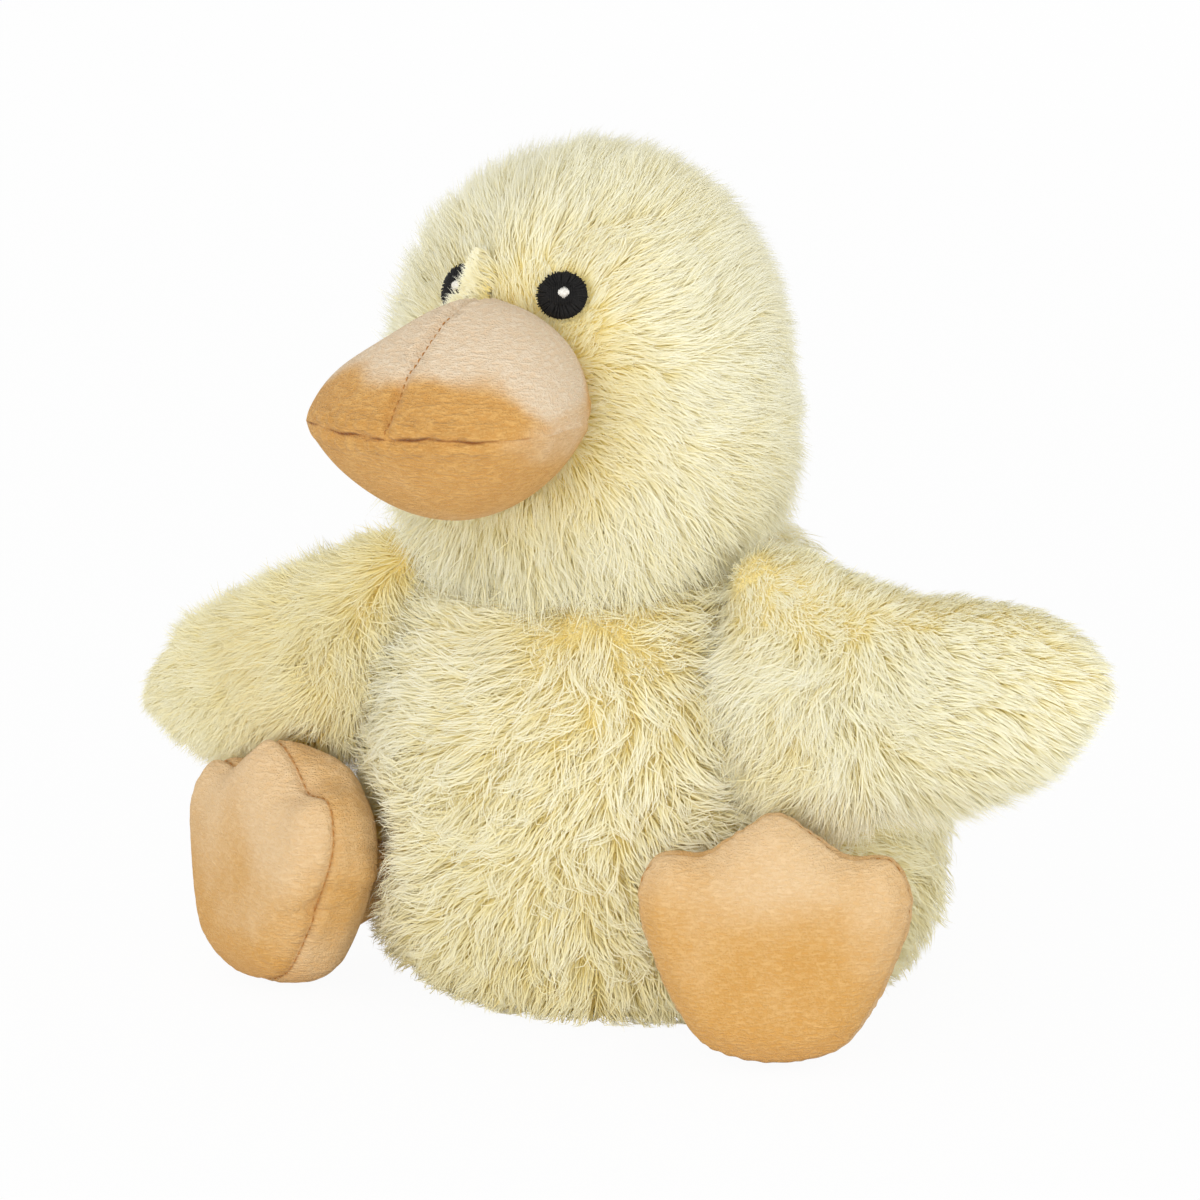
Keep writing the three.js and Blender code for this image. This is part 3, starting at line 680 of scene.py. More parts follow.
def velour_material(name, pale, warm, deep, dark):
    """Short velour: fine combed pile, paler where the stored nap value is high (painted sheen and light, with
    random patches), dark in painted seam shade.
    """
    material, wire, end = blank(name)
    place = object_place(wire)
    broad = grain_of(wire, place, 45, 2)
    soft = grain_of(wire, place, 120, 3)
    pile = grain_of(wire, object_place(wire, scale=(420, 420, 1500)), 1.0, 2, 0.6)
    speck = grain_of(wire, place, 1700, 2)
    nap = stored(wire, "nap")
    lift = clamped(wire, nap + (broad - 0.5) * 0.4 + (soft - 0.5) * 0.25, 0.15, 0.85)
    streak = clamped(wire, pile * 0.65 + speck * 0.35, 0.36, 0.64)
    colour = mix(wire, clamped(wire, soft * 0.4 + streak * 0.4 + nap * 0.3, 0.2, 0.85), deep, warm)
    colour = mix(wire, lift * (0.72 + streak * 0.28), colour, pale)
    ridges = stored(wire, "ridges")
    furrow = grain_of(wire, object_place(wire, scale=(150, 150, 620)), 1.0, 3, 0.55)
    line = clamped(wire, furrow, 0.38, 0.5) * ridges
    colour = mix(wire, ridges * 0.14 - line * 0.14, colour, dark)
    # Painted shade: seams darkened towards the dark tone
    crease = stored(wire, "crease")
    colour = mix(wire, clamped(wire, crease * (0.5 + furrow), 0.25, 0.9), colour, dark)
    bump = bumped(wire, 0.55, 0.0009, streak + speck * 0.5 + line * 2.0)
    return surfaced(material, wire, end, {
        "Base Color": colour, "Roughness": 0.9, "Specular IOR Level": 0.15, "Normal": bump,
        "Sheen Weight": 0.25, "Sheen Roughness": 0.45, "Sheen Tint": tone(255, 226, 190),
    })


def thread_material(name, dark, light):
    """Embroidery thread: fine twisted lines with a soft gloss."""
    material, wire, end = blank(name)
    place = object_place(wire)
    twist = grain_of(wire, place, 2400, 2)
    colour = mix(wire, clamped(wire, twist, 0.35, 0.75), dark, light)
    bump = bumped(wire, 0.4, 0.0003, twist)
    return surfaced(material, wire, end, {
        "Base Color": colour, "Roughness": 0.7, "Specular IOR Level": 0.25, "Normal": bump,
    })


def cotton_material():
    """Plain-woven pouch cotton: threads over and under, a little uneven."""
    material, wire, end = blank("woven_cotton")
    place = object_place(wire)
    warp, weft = (wire.node(
        "ShaderNodeTexWave", {"bands_direction": direction},
        {"Vector": place, "Scale": 420, "Distortion": 1.0},
    ) for direction in "XZ")
    weave = warp * weft
    slub = grain_of(wire, place, 150, 3)
    colour = mix(wire, weave, tone(212, 204, 184), tone(238, 232, 216))
    colour = mix(wire, slub * 0.3, colour, tone(226, 214, 188))
    bump = bumped(wire, 0.6, 0.0005, weave)
    return surfaced(material, wire, end, {
        "Base Color": colour, "Roughness": 0.92, "Normal": bump,
    })


# Pile: strands of mesh, gathered into tufts and tufts into locks
CURVED = np.array((0.0, 0.36, 0.72, 1.0))
BENT = np.array((0.0, 0.5, 1.0))
STRAIGHT = np.array((0.0, 1.0))
STRAND_SIDES = np.radians((90, 210, 330))


class Cover:
    """A finished skin that pile grows from: random places on it and their normals."""

    def __init__(self, piece):
        mesh = piece.data
        mesh.calc_loop_triangles()
        faces = np.empty(len(mesh.loop_triangles) * 3, dtype=np.int64)
        mesh.loop_triangles.foreach_get("vertices", faces)
        self.faces = faces.reshape(-1, 3)
        self.points = places(piece)
        self.normals = normals(piece)
        a, b, c = (self.points[self.faces[:, k]] for k in range(3))
        area = 0.5 * np.linalg.norm(np.cross(b - a, c - a), axis=1)
        self.area = area.sum()
        self.reach = np.cumsum(area) / self.area

    def scatter(self, rng, count):
        face = self.faces[np.searchsorted(self.reach, rng.random(count))]
        first, second = np.sqrt(rng.random(count)), rng.random(count)
        share = np.stack((1 - first, first * (1 - second), first * second), axis=1)[..., None]
        return (self.points[face] * share).sum(1), unit((self.normals[face] * share).sum(1))


def spaced(points, gap):
    """Rows of points kept so that no two are nearer than gap."""
    cells, kept = {}, []
    keys = np.floor(points / gap).astype(int)
    near = [(i, j, k) for i in (-1, 0, 1) for j in (-1, 0, 1) for k in (-1, 0, 1)]
    for row, (key, point) in enumerate(zip(keys.tolist(), points.tolist())):
        clash = False
        for i, j, k in near:
            other = cells.get((key[0] + i, key[1] + j, key[2] + k))
            if other and any(math.dist(point, o) < gap for o in other):
                clash = True
                break
        if not clash:
            cells.setdefault(tuple(key), []).append(point)
            kept.append(row)
    return np.array(kept)


def nearest(points, centres):
    tree = tree_of(centres)
    return np.array([tree.find(p)[1] for p in points])


def along_skin(ways, normal):
    return unit(ways - normal * (ways * normal).sum(1, keepdims=True))


def swept(roots, normal, comb, length, rise, bend, curl):
    """Strand points that leave the skin at angle rise, bend over and turn aside by curl."""
    path = [roots]
    aside = np.cross(normal, comb)
    for low, high in zip(CURVED[:-1], CURVED[1:]):
        middle = 0.5 * (low + high)
        angle = (rise - bend * middle)[:, None]
        turn = (curl * middle)[:, None]
        heading = comb * np.cos(turn) + aside * np.sin(turn)
        step = normal * np.sin(angle) + heading * np.cos(angle)
        path.append(path[-1] + step * (length * (high - low))[:, None])
    return np.stack(path, axis=1)


def at_steps(paths, steps):
    """The same paths with points at other shares of their length."""
    place = np.interp(steps, CURVED, np.arange(len(CURVED)))
    low = np.minimum(place.astype(int), len(CURVED) - 2)
    share = (place - low)[None, :, None]
    return paths[:, low] * (1 - share) + paths[:, low + 1] * share


class Coat:
    """How the pile of one skin lies."""

    def __init__(self, comb, bare, length, crease, rise, bend, tousle, gaps, pulls, layers):
        self.comb, self.bare, self.length, self.crease = comb, bare, length, crease
        self.rise, self.bend, self.tousle = rise, bend, tousle
        self.lock_gap, self.tuft_gap = gaps
        self.lock_pull, self.tuft_pull = pulls
        self.layers = layers

    def guides(self, rng, points, normal, seed, loose):
        """Paths for roots: combed, tousled by slow noise and by chance."""
        slow = drift(points, 24, seed)
        tousle = self.tousle(points)
        comb = along_skin(self.comb(points, normal) + slow * tousle[:, None], normal)
        spin = (rng.normal(0, 0.5 * loose, len(points)) * tousle)[:, None]
        comb = comb * np.cos(spin) + np.cross(normal, comb) * np.sin(spin)
        length = self.length(points) * rng.uniform(0.85, 1.12, len(points))
        rise = np.radians(self.rise + 16 * loose * rng.normal(0, 1, len(points)) * tousle)
        bend = np.radians(self.bend * rng.uniform(0.7, 1.25, len(points)))
        curl = rng.normal(0, 0.9, len(points)) * tousle + slow[:, 2] * 0.8
        return swept(points, normal, comb, length, rise, bend, curl)

    def grow(self, cover, seed):
        """Layers of strands over the whole skin: steps, paths, normals, colour and width."""
        rng = np.random.default_rng(seed)

        def roots(count):
            points, normal = cover.scatter(rng, count)
            thinned = rng.random(count) < 0.45 * ease(points[:, 1], 0, 40)
            open_skin = ~self.bare(points, normal) & ~thinned
            return points[open_skin], normal[open_skin]

        def spread_roots(gap):
            points, normal = roots(int(cover.area / gap ** 2 * 4))
            kept = spaced(points, gap)
            return points[kept], normal[kept]

        lock_points, lock_normals = spread_roots(self.lock_gap)
        tuft_points, tuft_normals = spread_roots(self.tuft_gap)
        locks = self.guides(rng, lock_points, lock_normals, seed, 1.0)
        tufts = self.guides(rng, tuft_points, tuft_normals, seed, 0.8)
        home = nearest(tuft_points, lock_points)
        pull = (self.lock_pull * CURVED ** 1.1)[None, :, None]
        spread = (tuft_points - lock_points[home])[:, None] * (1 - 0.7 * CURVED)[None, :, None]
        tufts = tufts + pull * (locks[home] + spread - tufts)
        # Tone of each tuft: slow random drift plus painted shade
        tint = 0.22 + drift(tuft_points, 40, seed + 3)[:, 0] * 0.16 + 0.55 * self.crease(tuft_points)

        grown = []
        for steps, count, share, width in self.layers:
            points, normal = roots(count)
            paths = self.guides(rng, points, normal, seed, 0.6)
            home = nearest(points, tuft_points)
            stray = np.where(rng.random(len(points)) < 0.15, 0.35, 1.0)
            firm = (rng.uniform(*self.tuft_pull, len(points)) * stray)[:, None, None]
            pull = firm * (CURVED ** 0.8)[None, :, None]
            spread = (points - tuft_points[home])[:, None] * (1 - 0.8 * CURVED)[None, :, None]
            paths = paths + pull * (tufts[home] + spread - paths)
            paths = at_steps(paths, steps * share)
            paths[:, 1:] += rng.normal(0, 0.25, paths[:, 1:].shape)
            shade = np.clip(tint[home] + rng.normal(0, 0.08, len(points)), 0.02, 0.96)
            broad = rng.uniform(0.75, 1.2, len(points)) * (1 + 0.4 * ease(points[:, 1], 0, 40))
            grown.append((steps, paths, normal, shade, broad * width))
        return grown


def strand_rows(steps, paths, normal, shade, width):
    """Corners, faces, normals at face corners and map rows of closed three-sided strands."""
    count, rings = len(paths), len(steps) - 1
    if rings > 1:
        along = unit(np.gradient(paths, axis=1))
    else:
        along = unit(paths[:, 1:] - paths[:, :1]).repeat(2, 1)
    side = unit(np.cross(along, normal[:, None]))
    over = np.cross(side, along)
    taper = 1.0 - 0.45 * (steps[:rings] / steps[-1]) ** 2
    thick = (width[:, None] * taper)[..., None]
    around = [
        0.55 * math.cos(a) * side[:, :rings] + 0.16 * math.sin(a) * over[:, :rings] for a in STRAND_SIDES
    ]
    ring = np.stack([paths[:, :rings] + thick * spoke for spoke in around], axis=2)
    points = np.concatenate((ring.reshape(count, rings * 3, 3), paths[:, -1:]), axis=1)
    facing = np.stack(around, axis=2).reshape(count, rings * 3, 3)
    facing = np.concatenate((facing, over[:, -1:] * 0.2), axis=1)
    lift = np.concatenate((np.repeat(over[:, :rings], 3, axis=1), over[:, -1:]), axis=1)
    lit = unit(normal[:, None] * 0.85 + lift * 0.25 + facing * 0.12)
    tip = rings * 3
    faces = [(0, 1, 2)]
    for r in range(rings - 1):
        for j in range(3):
            k = (j + 1) % 3
            faces.append((3 * r + k, 3 * r + j, 3 * r + 3 + j, 3 * r + 3 + k))
    faces += [(tip - 3 + (j + 1) % 3, tip - 3 + j, tip) for j in range(3)]
    shown = []
    for face in faces:
        spots = points[:, face]
        facing = unit(np.cross(spots[:, 2] - spots[:, 0], spots[:, -1] - spots[:, 1]))
        if len(face) == 3:
            facing = unit(np.cross(spots[:, 1] - spots[:, 0], spots[:, 2] - spots[:, 0]))
        here = lit[:, face]
        short = np.maximum(0.3 - (here * facing[:, None]).sum(-1, keepdims=True), 0)
        shown.append(unit(here + facing[:, None] * short))
    shown = np.concatenate(shown, axis=1)
    height = np.concatenate((np.repeat(steps[:rings], 3), steps[-1:]))
    lean = np.concatenate((np.tile((0.0, 0.012, 0.024), rings), (0.012,)))
    table = np.empty((count, tip + 1, 2))
    table[..., 0] = shade[:, None] + lean
    table[..., 1] = 0.02 + 0.96 * height
    return points, faces, shown, table


def strand_mesh(name, layers):
    """One mesh of all the strands of some layers, with its map for the colour along each."""
    co, lit, loops, starts, maps = [], [], [], [], []
    corner = loop = 0
    for steps, paths, normal, shade, width in layers:
        points, faces, shown, table = strand_rows(steps, paths, normal, shade, width)
        count, size = points.shape[:2]
        flat = np.array([c for face in faces for c in face])
        begin = np.concatenate(((0,), np.cumsum([len(face) for face in faces])[:-1]))
        rows = np.arange(count)[:, None]
        co.append(points.reshape(-1, 3))
        lit.append(shown.reshape(-1, 3))
        loops.append((rows * size + flat + corner).ravel())
        starts.append((rows * len(flat) + begin + loop).ravel())
        maps.append(table[:, flat].reshape(-1, 2))
        corner += count * size
        loop += count * len(flat)
    mesh = bpy.data.meshes.new(name)
    mesh.vertices.add(corner)
    mesh.vertices.foreach_set("co", (np.concatenate(co) * MM).ravel())
    mesh.loops.add(loop)
    mesh.loops.foreach_set("vertex_index", np.concatenate(loops).astype(np.int32))
    starts = np.concatenate(starts).astype(np.int32)
    mesh.polygons.add(len(starts))
    mesh.polygons.foreach_set("loop_start", starts)
    mesh.update(calc_edges=True)
    layer = mesh.uv_layers.new(name="OFBake")
    layer.data.foreach_set("uv", np.concatenate(maps).ravel())
    mesh.polygons.foreach_set("use_smooth", np.ones(len(starts), dtype=bool))
    mesh.normals_split_custom_set(np.concatenate(lit).tolist())
    piece = bpy.data.objects.new(name, mesh)
    scene.collection.objects.link(piece)
    return piece


def inside(tree, points, margin):
    """Which points lie inside a closed skin, or nearer to it than margin (in millimetres)."""
    found = np.zeros(len(points), dtype=bool)
    for row, point in enumerate(points):
        place, normal, _, gap = tree.find_nearest(Vector(point) * MM)
        if place is not None:
            found[row] = gap < margin * MM or (Vector(point) * MM - place).dot(normal) < 0
    return found


def skin_tree(piece):
    mesh = piece.data
    return BVHTree.FromPolygons([v.co for v in mesh.vertices], [p.vertices for p in mesh.polygons])


def blocked(paths, tree, low, high, margin):
    """Strands that run into a skin whose box is low to high."""
    hit = np.zeros(len(paths), dtype=bool)
    for step in range(1, paths.shape[1]):
        points = paths[:, step]
        near = np.flatnonzero(((points > low - margin) & (points < high + margin)).all(1) & ~hit)
        hit[near] |= inside(tree, points[near], margin)
    return hit


def box_of(piece):
    points = places(piece)
    return points.min(0), points.max(0)


# Camera
camera = bpy.data.objects.new("camera", bpy.data.cameras.new("camera"))
scene.collection.objects.link(camera)
camera.location = CAMERA_PLACE
camera.rotation_euler = aimed(CAMERA_PLACE, CAMERA_TARGET)
camera.data.lens, camera.data.sensor_width = CAMERA_LENS, 36.0
camera.data.clip_end = 100.0
scene.camera = camera
scene.view_settings.view_transform = "Standard"

# Finishes
PILE = pile_material()
BACKING = backing_material()
BILL_VELOUR = velour_material(
    "bill_velour", tone(234, 215, 188), tone(224, 176, 106), tone(206, 152, 82), tone(138, 84, 40),
)
FOOT_VELOUR = velour_material(
    "foot_velour", tone(236, 204, 160), tone(225, 180, 115), tone(214, 161, 88), tone(176, 116, 56),
)
BLACK_THREAD = thread_material("black_thread", tone(8, 7, 7), tone(30, 28, 26))
WHITE_THREAD = thread_material("white_thread", tone(226, 222, 212), tone(250, 248, 242))
MOUTH_THREAD = thread_material("mouth_thread", tone(128, 76, 36), tone(170, 112, 58))
SEAM_THREAD = thread_material("seam_thread", tone(176, 118, 56), tone(214, 160, 92))
COTTON = cotton_material()

# Body skin, swollen between its side seams and the seam round its seat
body_skin = moulded("body_skin", 27, lambda w: body_form(w, BODY_INSET))[0]
points = places(body_skin)
stuff(body_skin, (np.abs(points[:, 1] - SIDE_SEAM_Y) < 2.5) | (points[:, 2] < 6), BODY_SWELL)
settle(body_skin, "torso", BACKING, ("body_base_panel", "body_fibre"))

# Head skin, swollen between the gusset seams
head_skin = moulded("head_skin", 27, lambda w: head_form(w, HEAD_INSET))[0]
points = to_head(places(head_skin))
on_gusset = np.abs(np.abs(points[:, 0]) - GUSSET_HALF_WIDTH) < 2
stuff(head_skin, on_gusset | (points[:, 2] < -30), HEAD_SWELL)
settle(head_skin, "head", BACKING, ("head_fibre",))

# Wing skins
wing_skins = {}
for side_name in SIDES:
    skin, way = moulded(f"{side_name}_wing_skin", 19, lambda w: wing_form(w, WING_INSET, side_name))
    stuff(skin, np.abs(way[:, 2]) < 0.06, WING_SWELL)
    settle(skin, f"{side_name}_wing", BACKING, (f"{side_name}_wing_fibre",))
    wing_skins[side_name] = skin

# Bill
bill, way = moulded("bill", 31, lambda w: bill_form(w, BILL_INSET))
on_mouth = np.abs(way[:, 2]) < 1e-4
on_crest = (np.abs(way[:, 0]) < 1e-4) & (way[:, 2] > 0)
stuff(bill, on_mouth | on_crest, BILL_SWELL)
seams = refine(bill, {"mouth": on_mouth, "crest": on_crest})
points = to_head(places(bill))
upper = points[:, 2] > MOUTH_HEIGHT
crest_run = (points[:, 2] - MOUTH_HEIGHT) + (points[:, 1] - BILL_PLACE[1])
mouth_run = 34 * np.arctan2(points[:, 1] - BILL_PLACE[1], points[:, 0])
away = np.abs(points[:, 0])
wander = 0.9 * drift(np.stack((mouth_run, 0 * away, 0 * away), axis=1), 7, 21)[:, 0]
near_mouth = np.exp(-((points[:, 2] - MOUTH_HEIGHT) / 5) ** 2)
move_to(bill, places(bill) + np.array((0, 0, 1.0)) * (wander * near_mouth)[:, None])
sewn(bill, seams["crest"], crest_run, 1.5 * ease(points[:, 2] - MOUTH_HEIGHT, 0, 6), 1.3, 3.4, 5)
mouth_gap = sewn(bill, seams["mouth"], mouth_run, 2.4 - 2.38 * ease(away, 24, 38), 1.2, 4.6, 6)
# Painted sheen: the upper bill paler above a wandering border and at its right end, the lower bill at its
# ends and bottom
border = 15 - 14 * ease(points[:, 0], 20, 44) - 6 * ease(-points[:, 0], 18, 38)
border += 2.5 * drift(points, 14, 8)[:, 0]
sheen_above_border = ease(points[:, 2] - MOUTH_HEIGHT, border - 6, border + 6)
edge_sheen = 0.35 * ease(away, 26, 38) + 0.25 * ease(MOUTH_HEIGHT - points[:, 2], 18, 27)
painted_sheen = np.maximum(sheen_above_border, 0.6 * ease(points[:, 0], 30, 40))
ridged = np.exp(-(mouth_gap / np.where(upper, 11, 7)) ** 2) * (points[:, 1] < -55)
# Painted shade along the mouth groove, fading towards the corners
mouth_shade = np.exp(-(mouth_gap / 0.9) ** 2) * (1 - 0.7 * ease(away, 18, 40))
store_velour_light_and_shade(
    bill, np.where(upper, 0.08 + 0.92 * painted_sheen, 0.12 + edge_sheen), ridged * (1 - ease(away, 22, 34)),
    mouth_shade * (1.0 + 0.7 * drift(points, 5, 22)[:, 0]),
)
settle(
    bill, "head", BILL_VELOUR,
    ("bill_upper_left_panel", "bill_upper_right_panel", "bill_lower_panel", "bill_fibre"),
)
crest_seam = seam_runs(bill, seams["crest"] & (points[:, 1] < -40), crest_run, 2.4, 0.62, 0.4)
mouth_seam = seam_runs(bill, seams["mouth"] & (away < 20) & (points[:, 1] < -85), mouth_run, 3.0, 0.7, 0.4)

# Feet
feet, foot_seams = {}, {}
for side_name in SIDES:
    foot, way = moulded(f"{side_name}_foot", 31, lambda w: foot_form(w, FOOT_INSET, side_name))
    on_edge = np.abs(way[:, 2]) < 1e-4
    stuff(foot, on_edge, FOOT_SWELL)
    seam = refine(foot, {"edge": on_edge})["edge"]
    origin, rows, hinge = FEET[side_name]
    local = (places(foot) - origin) @ rows.T
    around = np.arctan2(local[:, 1], local[:, 0])
    edge_gap = sewn(foot, seam, 36 * around, 1.0, 1.0, 5.0, 7)
    points = places(foot)
    if side_name == "right":
        off = local - (33.0, -8.0, 1.5)
        far = np.linalg.norm(off, axis=1)
        fold = np.cos(5 * np.arctan2(off[:, 1], off[:, 0] + off[:, 2])) * np.exp(-((far - 6) / 4) ** 2)
        points -= normals(foot) * (2.2 * np.exp(-(far / 3) ** 2) - 0.5 * fold)[:, None]
    points[:, 2] = np.maximum(points[:, 2], 0.2)
    move_to(foot, points)
    # Painted light: each sole paler towards its toes, set per foot, with random patches; painted shade in the
    # seam groove
    patches = drift(points, 22, 9)[:, 0]
    sole_light_and_patches = FOOT_PAINTED_LIGHT[side_name] + local[:, 1] / 70 + 0.3 * patches
    store_velour_light_and_shade(
        foot, np.where(local[:, 2] > 0, sole_light_and_patches, 0.45 + 0.3 * patches),
        0.5 * np.exp(-(edge_gap / 4) ** 2), 0.6 * np.exp(-(edge_gap / 0.7) ** 2),
    )
    settle(
        foot, f"{side_name}_foot", FOOT_VELOUR,
        tuple(f"{side_name}_foot_{part}" for part in ("sole", "upper", "fibre")),
    )
    feet[side_name] = foot
    foot_seams[side_name] = seam_runs(foot, seam, around, 3.0, 0.6, 0.4)


# Painted shade: how far the pile is coloured towards its deeper tones where shade falls, from 0 to 1
def wing_root_shade(points):
    close = np.zeros(len(points))
    for hinge, reach, axis, tip_axis, across in WINGS.values():
        off = points - hinge
        beside = np.linalg.norm(np.cross(off, axis), axis=1)
        height = off @ axis
        share = 0.95 * (1 - ease(height, -14, 4))
        close = np.maximum(close, share * np.exp(-(beside / 13) ** 2) * (np.abs(height) < 40))
    return close


# Painted shade low down, in the neck, on the side below the wing and at the wing roots; by the right foot
# painted shade and its orange reflection
def body_painted_shade(points):
    low = 1 - ease(points[:, 2], 4, 34)
    neck = np.exp(-((head_implicit(points, 0) - 1) / 0.35) ** 2)
    neck *= 1 - ease(points[:, 1], -45, -10)
    azimuth = azimuth_of(points)
    side = 0.3 * ease(azimuth, 45, 75) * (1 - ease(azimuth, 120, 150)) * (1 - ease(points[:, 2], 60, 85))
    ankle = FEET["right"][2]
    foot_shade_and_reflection = 0.9 * np.exp(-(np.linalg.norm(points - ankle, axis=1) / 30) ** 2)
    return np.maximum.reduce((0.8 * low, 0.22 * neck, side, foot_shade_and_reflection, wing_root_shade(points)))


def bill_gap_of(local):
    """How far points in the head's frame lie from the middle of the bill's root."""
    return np.linalg.norm((local - (0, -56, 20)) / (1.0, 1.0, 0.8), axis=1)


# Painted shade under the chin and round the bill's root; paler towards the crown
def head_painted_shade(points):
    local = to_head(points)
    chin = 1 - ease(local[:, 2], -42, 6)
    bill_gap = bill_gap_of(local)
    deep = np.maximum(0.12 * chin, 0.4 * (1 - ease(bill_gap, 36, 48)))
    return deep - 0.15 * ease(local[:, 2], -5, 45)


# How the pile lies on each form
def body_comb(points, normal):
    azimuth = azimuth_of(points)
    sweep = np.tanh((azimuth - 16) / 26) * (1 - ease(np.abs(azimuth), 70, 130))
    around = np.stack((-points[:, 1], points[:, 0], np.zeros(len(points))), axis=1)
    down = np.where(azimuth < 16, 0.35 + 0.65 * (1 - np.abs(sweep)), 0.9)
    return along_skin(unit(around) * sweep[:, None] + np.array((0, 0, -1.0)) * down[:, None], normal)


def head_implicit(points, inset):
    """Below 1 inside the head's form made smaller by inset."""
    local = to_head(points)
    flat = np.hypot(local[:, 0] / (HEAD_HALF_WIDTH - inset), local[:, 1] / (HEAD_HALF_DEPTH - inset))
    up = np.maximum(local[:, 2], 0) / (HEAD_UP_REACH - inset)
    down = np.maximum(-local[:, 2], 0) / (HEAD_DOWN_REACH - inset)
    return flat ** HEAD_UP_FULLNESS + up ** HEAD_UP_FULLNESS + down ** 2


def body_bare(points, normal):
    seat = (normal[:, 2] < -0.75) | (points[:, 2] < 2)
    return seat | (head_implicit(points, 14) < 1) | (points[:, 2] > 132)


def body_length(points):
    azimuth = azimuth_of(points)
    length = 17.0 - 2.0 * ease(points[:, 2], 100, 125) - 5 * (1 - ease(points[:, 2], 4, 22))
    length += 2 * ease(azimuth, 60, 85) * (1 - ease(points[:, 2], 60, 80))
    behind_wing = ease(azimuth, 60, 95) * (1 - ease(azimuth, 145, 170))
    length *= 1 - 0.68 * behind_wing * ease(points[:, 2], 75, 100)
    for side in SIDES.values():
        shoulder = np.linalg.norm(points - np.array(WING_ROOT) * (side, 1, 1) - (0, 0, 12), axis=1)
        length += (3 if side < 0 else 1) * np.exp(-(shoulder / 26) ** 2)
    return length


BILL_ROOT = from_head(np.array(((0.0, -46.0, 20.0),)))[0]


def head_comb(points, normal):
    away = unit(points - BILL_ROOT)
    local = to_head(points)
    behind = ease(local[:, 1], -20, 40)[:, None]
    below = (1 - ease(local[:, 2], -25, 15))[:, None]
    ways = away + np.array((0, 0.1, -1.0)) * (0.9 * behind + 0.9 * below)
    return along_skin(ways, normal)


def head_bare(points, normal):
    hub = np.array((0, 0, NECK_HEIGHT))
    out = points - hub
    under = (np.linalg.norm(out, axis=1) < NECK_RADIUS + 7) & ((unit(out) * normal).sum(1) < -0.3)
    for place, rows in EYES.values():
        local = (points - place) @ rows.T
        under |= (np.hypot(local[:, 0], local[:, 1]) < EYE_RADIUS - 0.8) & (local[:, 2] > -12)
    return under | inside(bill_tree, points, 0.5)


def head_length(points):
    local = to_head(points)
    length = 15.5 + 6.5 * ease(-local[:, 0], 12, 50) - 1.5 * ease(local[:, 0], 20, 50)
    length += 7 * (1 - ease(local[:, 2], -28, 12))
    for name, (place, rows) in EYES.items():
        gap = np.linalg.norm(points - place, axis=1)
        least = 0.5 if name == "left" else 0.6
        length *= least + (1 - least) * ease(gap, 6, 22)
    bill_gap = bill_gap_of(local)
    length *= 0.7 + 0.3 * ease(bill_gap, 38, 55)
    parting = np.abs(np.abs(local[:, 0]) - GUSSET_HALF_WIDTH) + 40 * (local[:, 1] > 0)
    return length * (0.75 + 0.25 * ease(parting, 0.5, 4))


def wing_comb_of(side_name):
    hinge, reach, axis = WINGS[side_name][:3]

    def comb(points, normal):
        along = (points - hinge) @ reach / WING_LENGTH
        height = (points - hinge) @ axis / WING_HALF_HEIGHT
        fall = 0.75 - 0.65 * ease(along, 0.15, 0.8) - height * (0.2 + 0.5 * ease(along, 0.5, 1))
        outward_share = 1.45 * ease(along + 0.25 * drift(points, 17, 13)[:, 0], 0.0, 0.42) - 0.45
        topmost = ease(normal[:, 2], 0.15, 0.65)
        outward_share = np.maximum(outward_share, topmost)
        ways = reach * outward_share[:, None] + np.array((0, 0, -1.0)) * (fall * (1 - topmost))[:, None]
        return along_skin(ways, normal)

    return comb


# Painted shade at the wing's root and under the right wing's lower inner half, over the wing's base level
def wing_painted_shade_of(side_name):
    hinge, reach, axis = WINGS[side_name][:3]

    def crease(points):
        along = (points - hinge) @ reach / WING_LENGTH
        base = WING_PAINTED_SHADE[side_name]
        height = (points - hinge) @ axis / WING_HALF_HEIGHT
        root = (0.45 - base) * (1 - ease(along, 0.02, 0.34)) * (1 - ease(height, -0.5, 0.1))
        below = 0.45 * ease(-height, -0.2, 0.7) * (1 - ease(along, 0.25, 0.8)) * (side_name == "right")
        return base + np.maximum(root, below)

    return crease


def wing_bare(points, normal):
    return np.hypot(points[:, 0], points[:, 1]) < body_radius(points[:, 2]) - 5


def wing_length_of(side_name):
    hinge, reach, axis = WINGS[side_name][:3]

    def length(points):
        along = (points - hinge) @ reach / WING_LENGTH
        height = (points - wing_centre(along, side_name)) @ axis / WING_HALF_HEIGHT
        flat = 0.62 * ease(height, 0.25, 0.75)
        return (18.0 - 9.0 * ease(along, 0.2, 1.0)) * (1 - flat)

    return length


bill_tree = skin_tree(bill)
bill_box = box_of(bill)
foot_trees = {name: (skin_tree(foot), *box_of(foot)) for name, foot in feet.items()}


def clear_of_eyes(paths):
    """Strands that would cover an eye's middle."""
    hit = np.zeros(len(paths), dtype=bool)
    for place, rows in EYES.values():
        local = (paths - place) @ rows.T
        wide, tall = EYE_RADIUS - 0.5, EYE_RADIUS - 0.9
        over = (np.hypot(local[..., 0] / wide, local[..., 1] / tall) < 1) & (local[..., 2] > -6)
        hit |= over[:, 1:].any(1)
    return hit


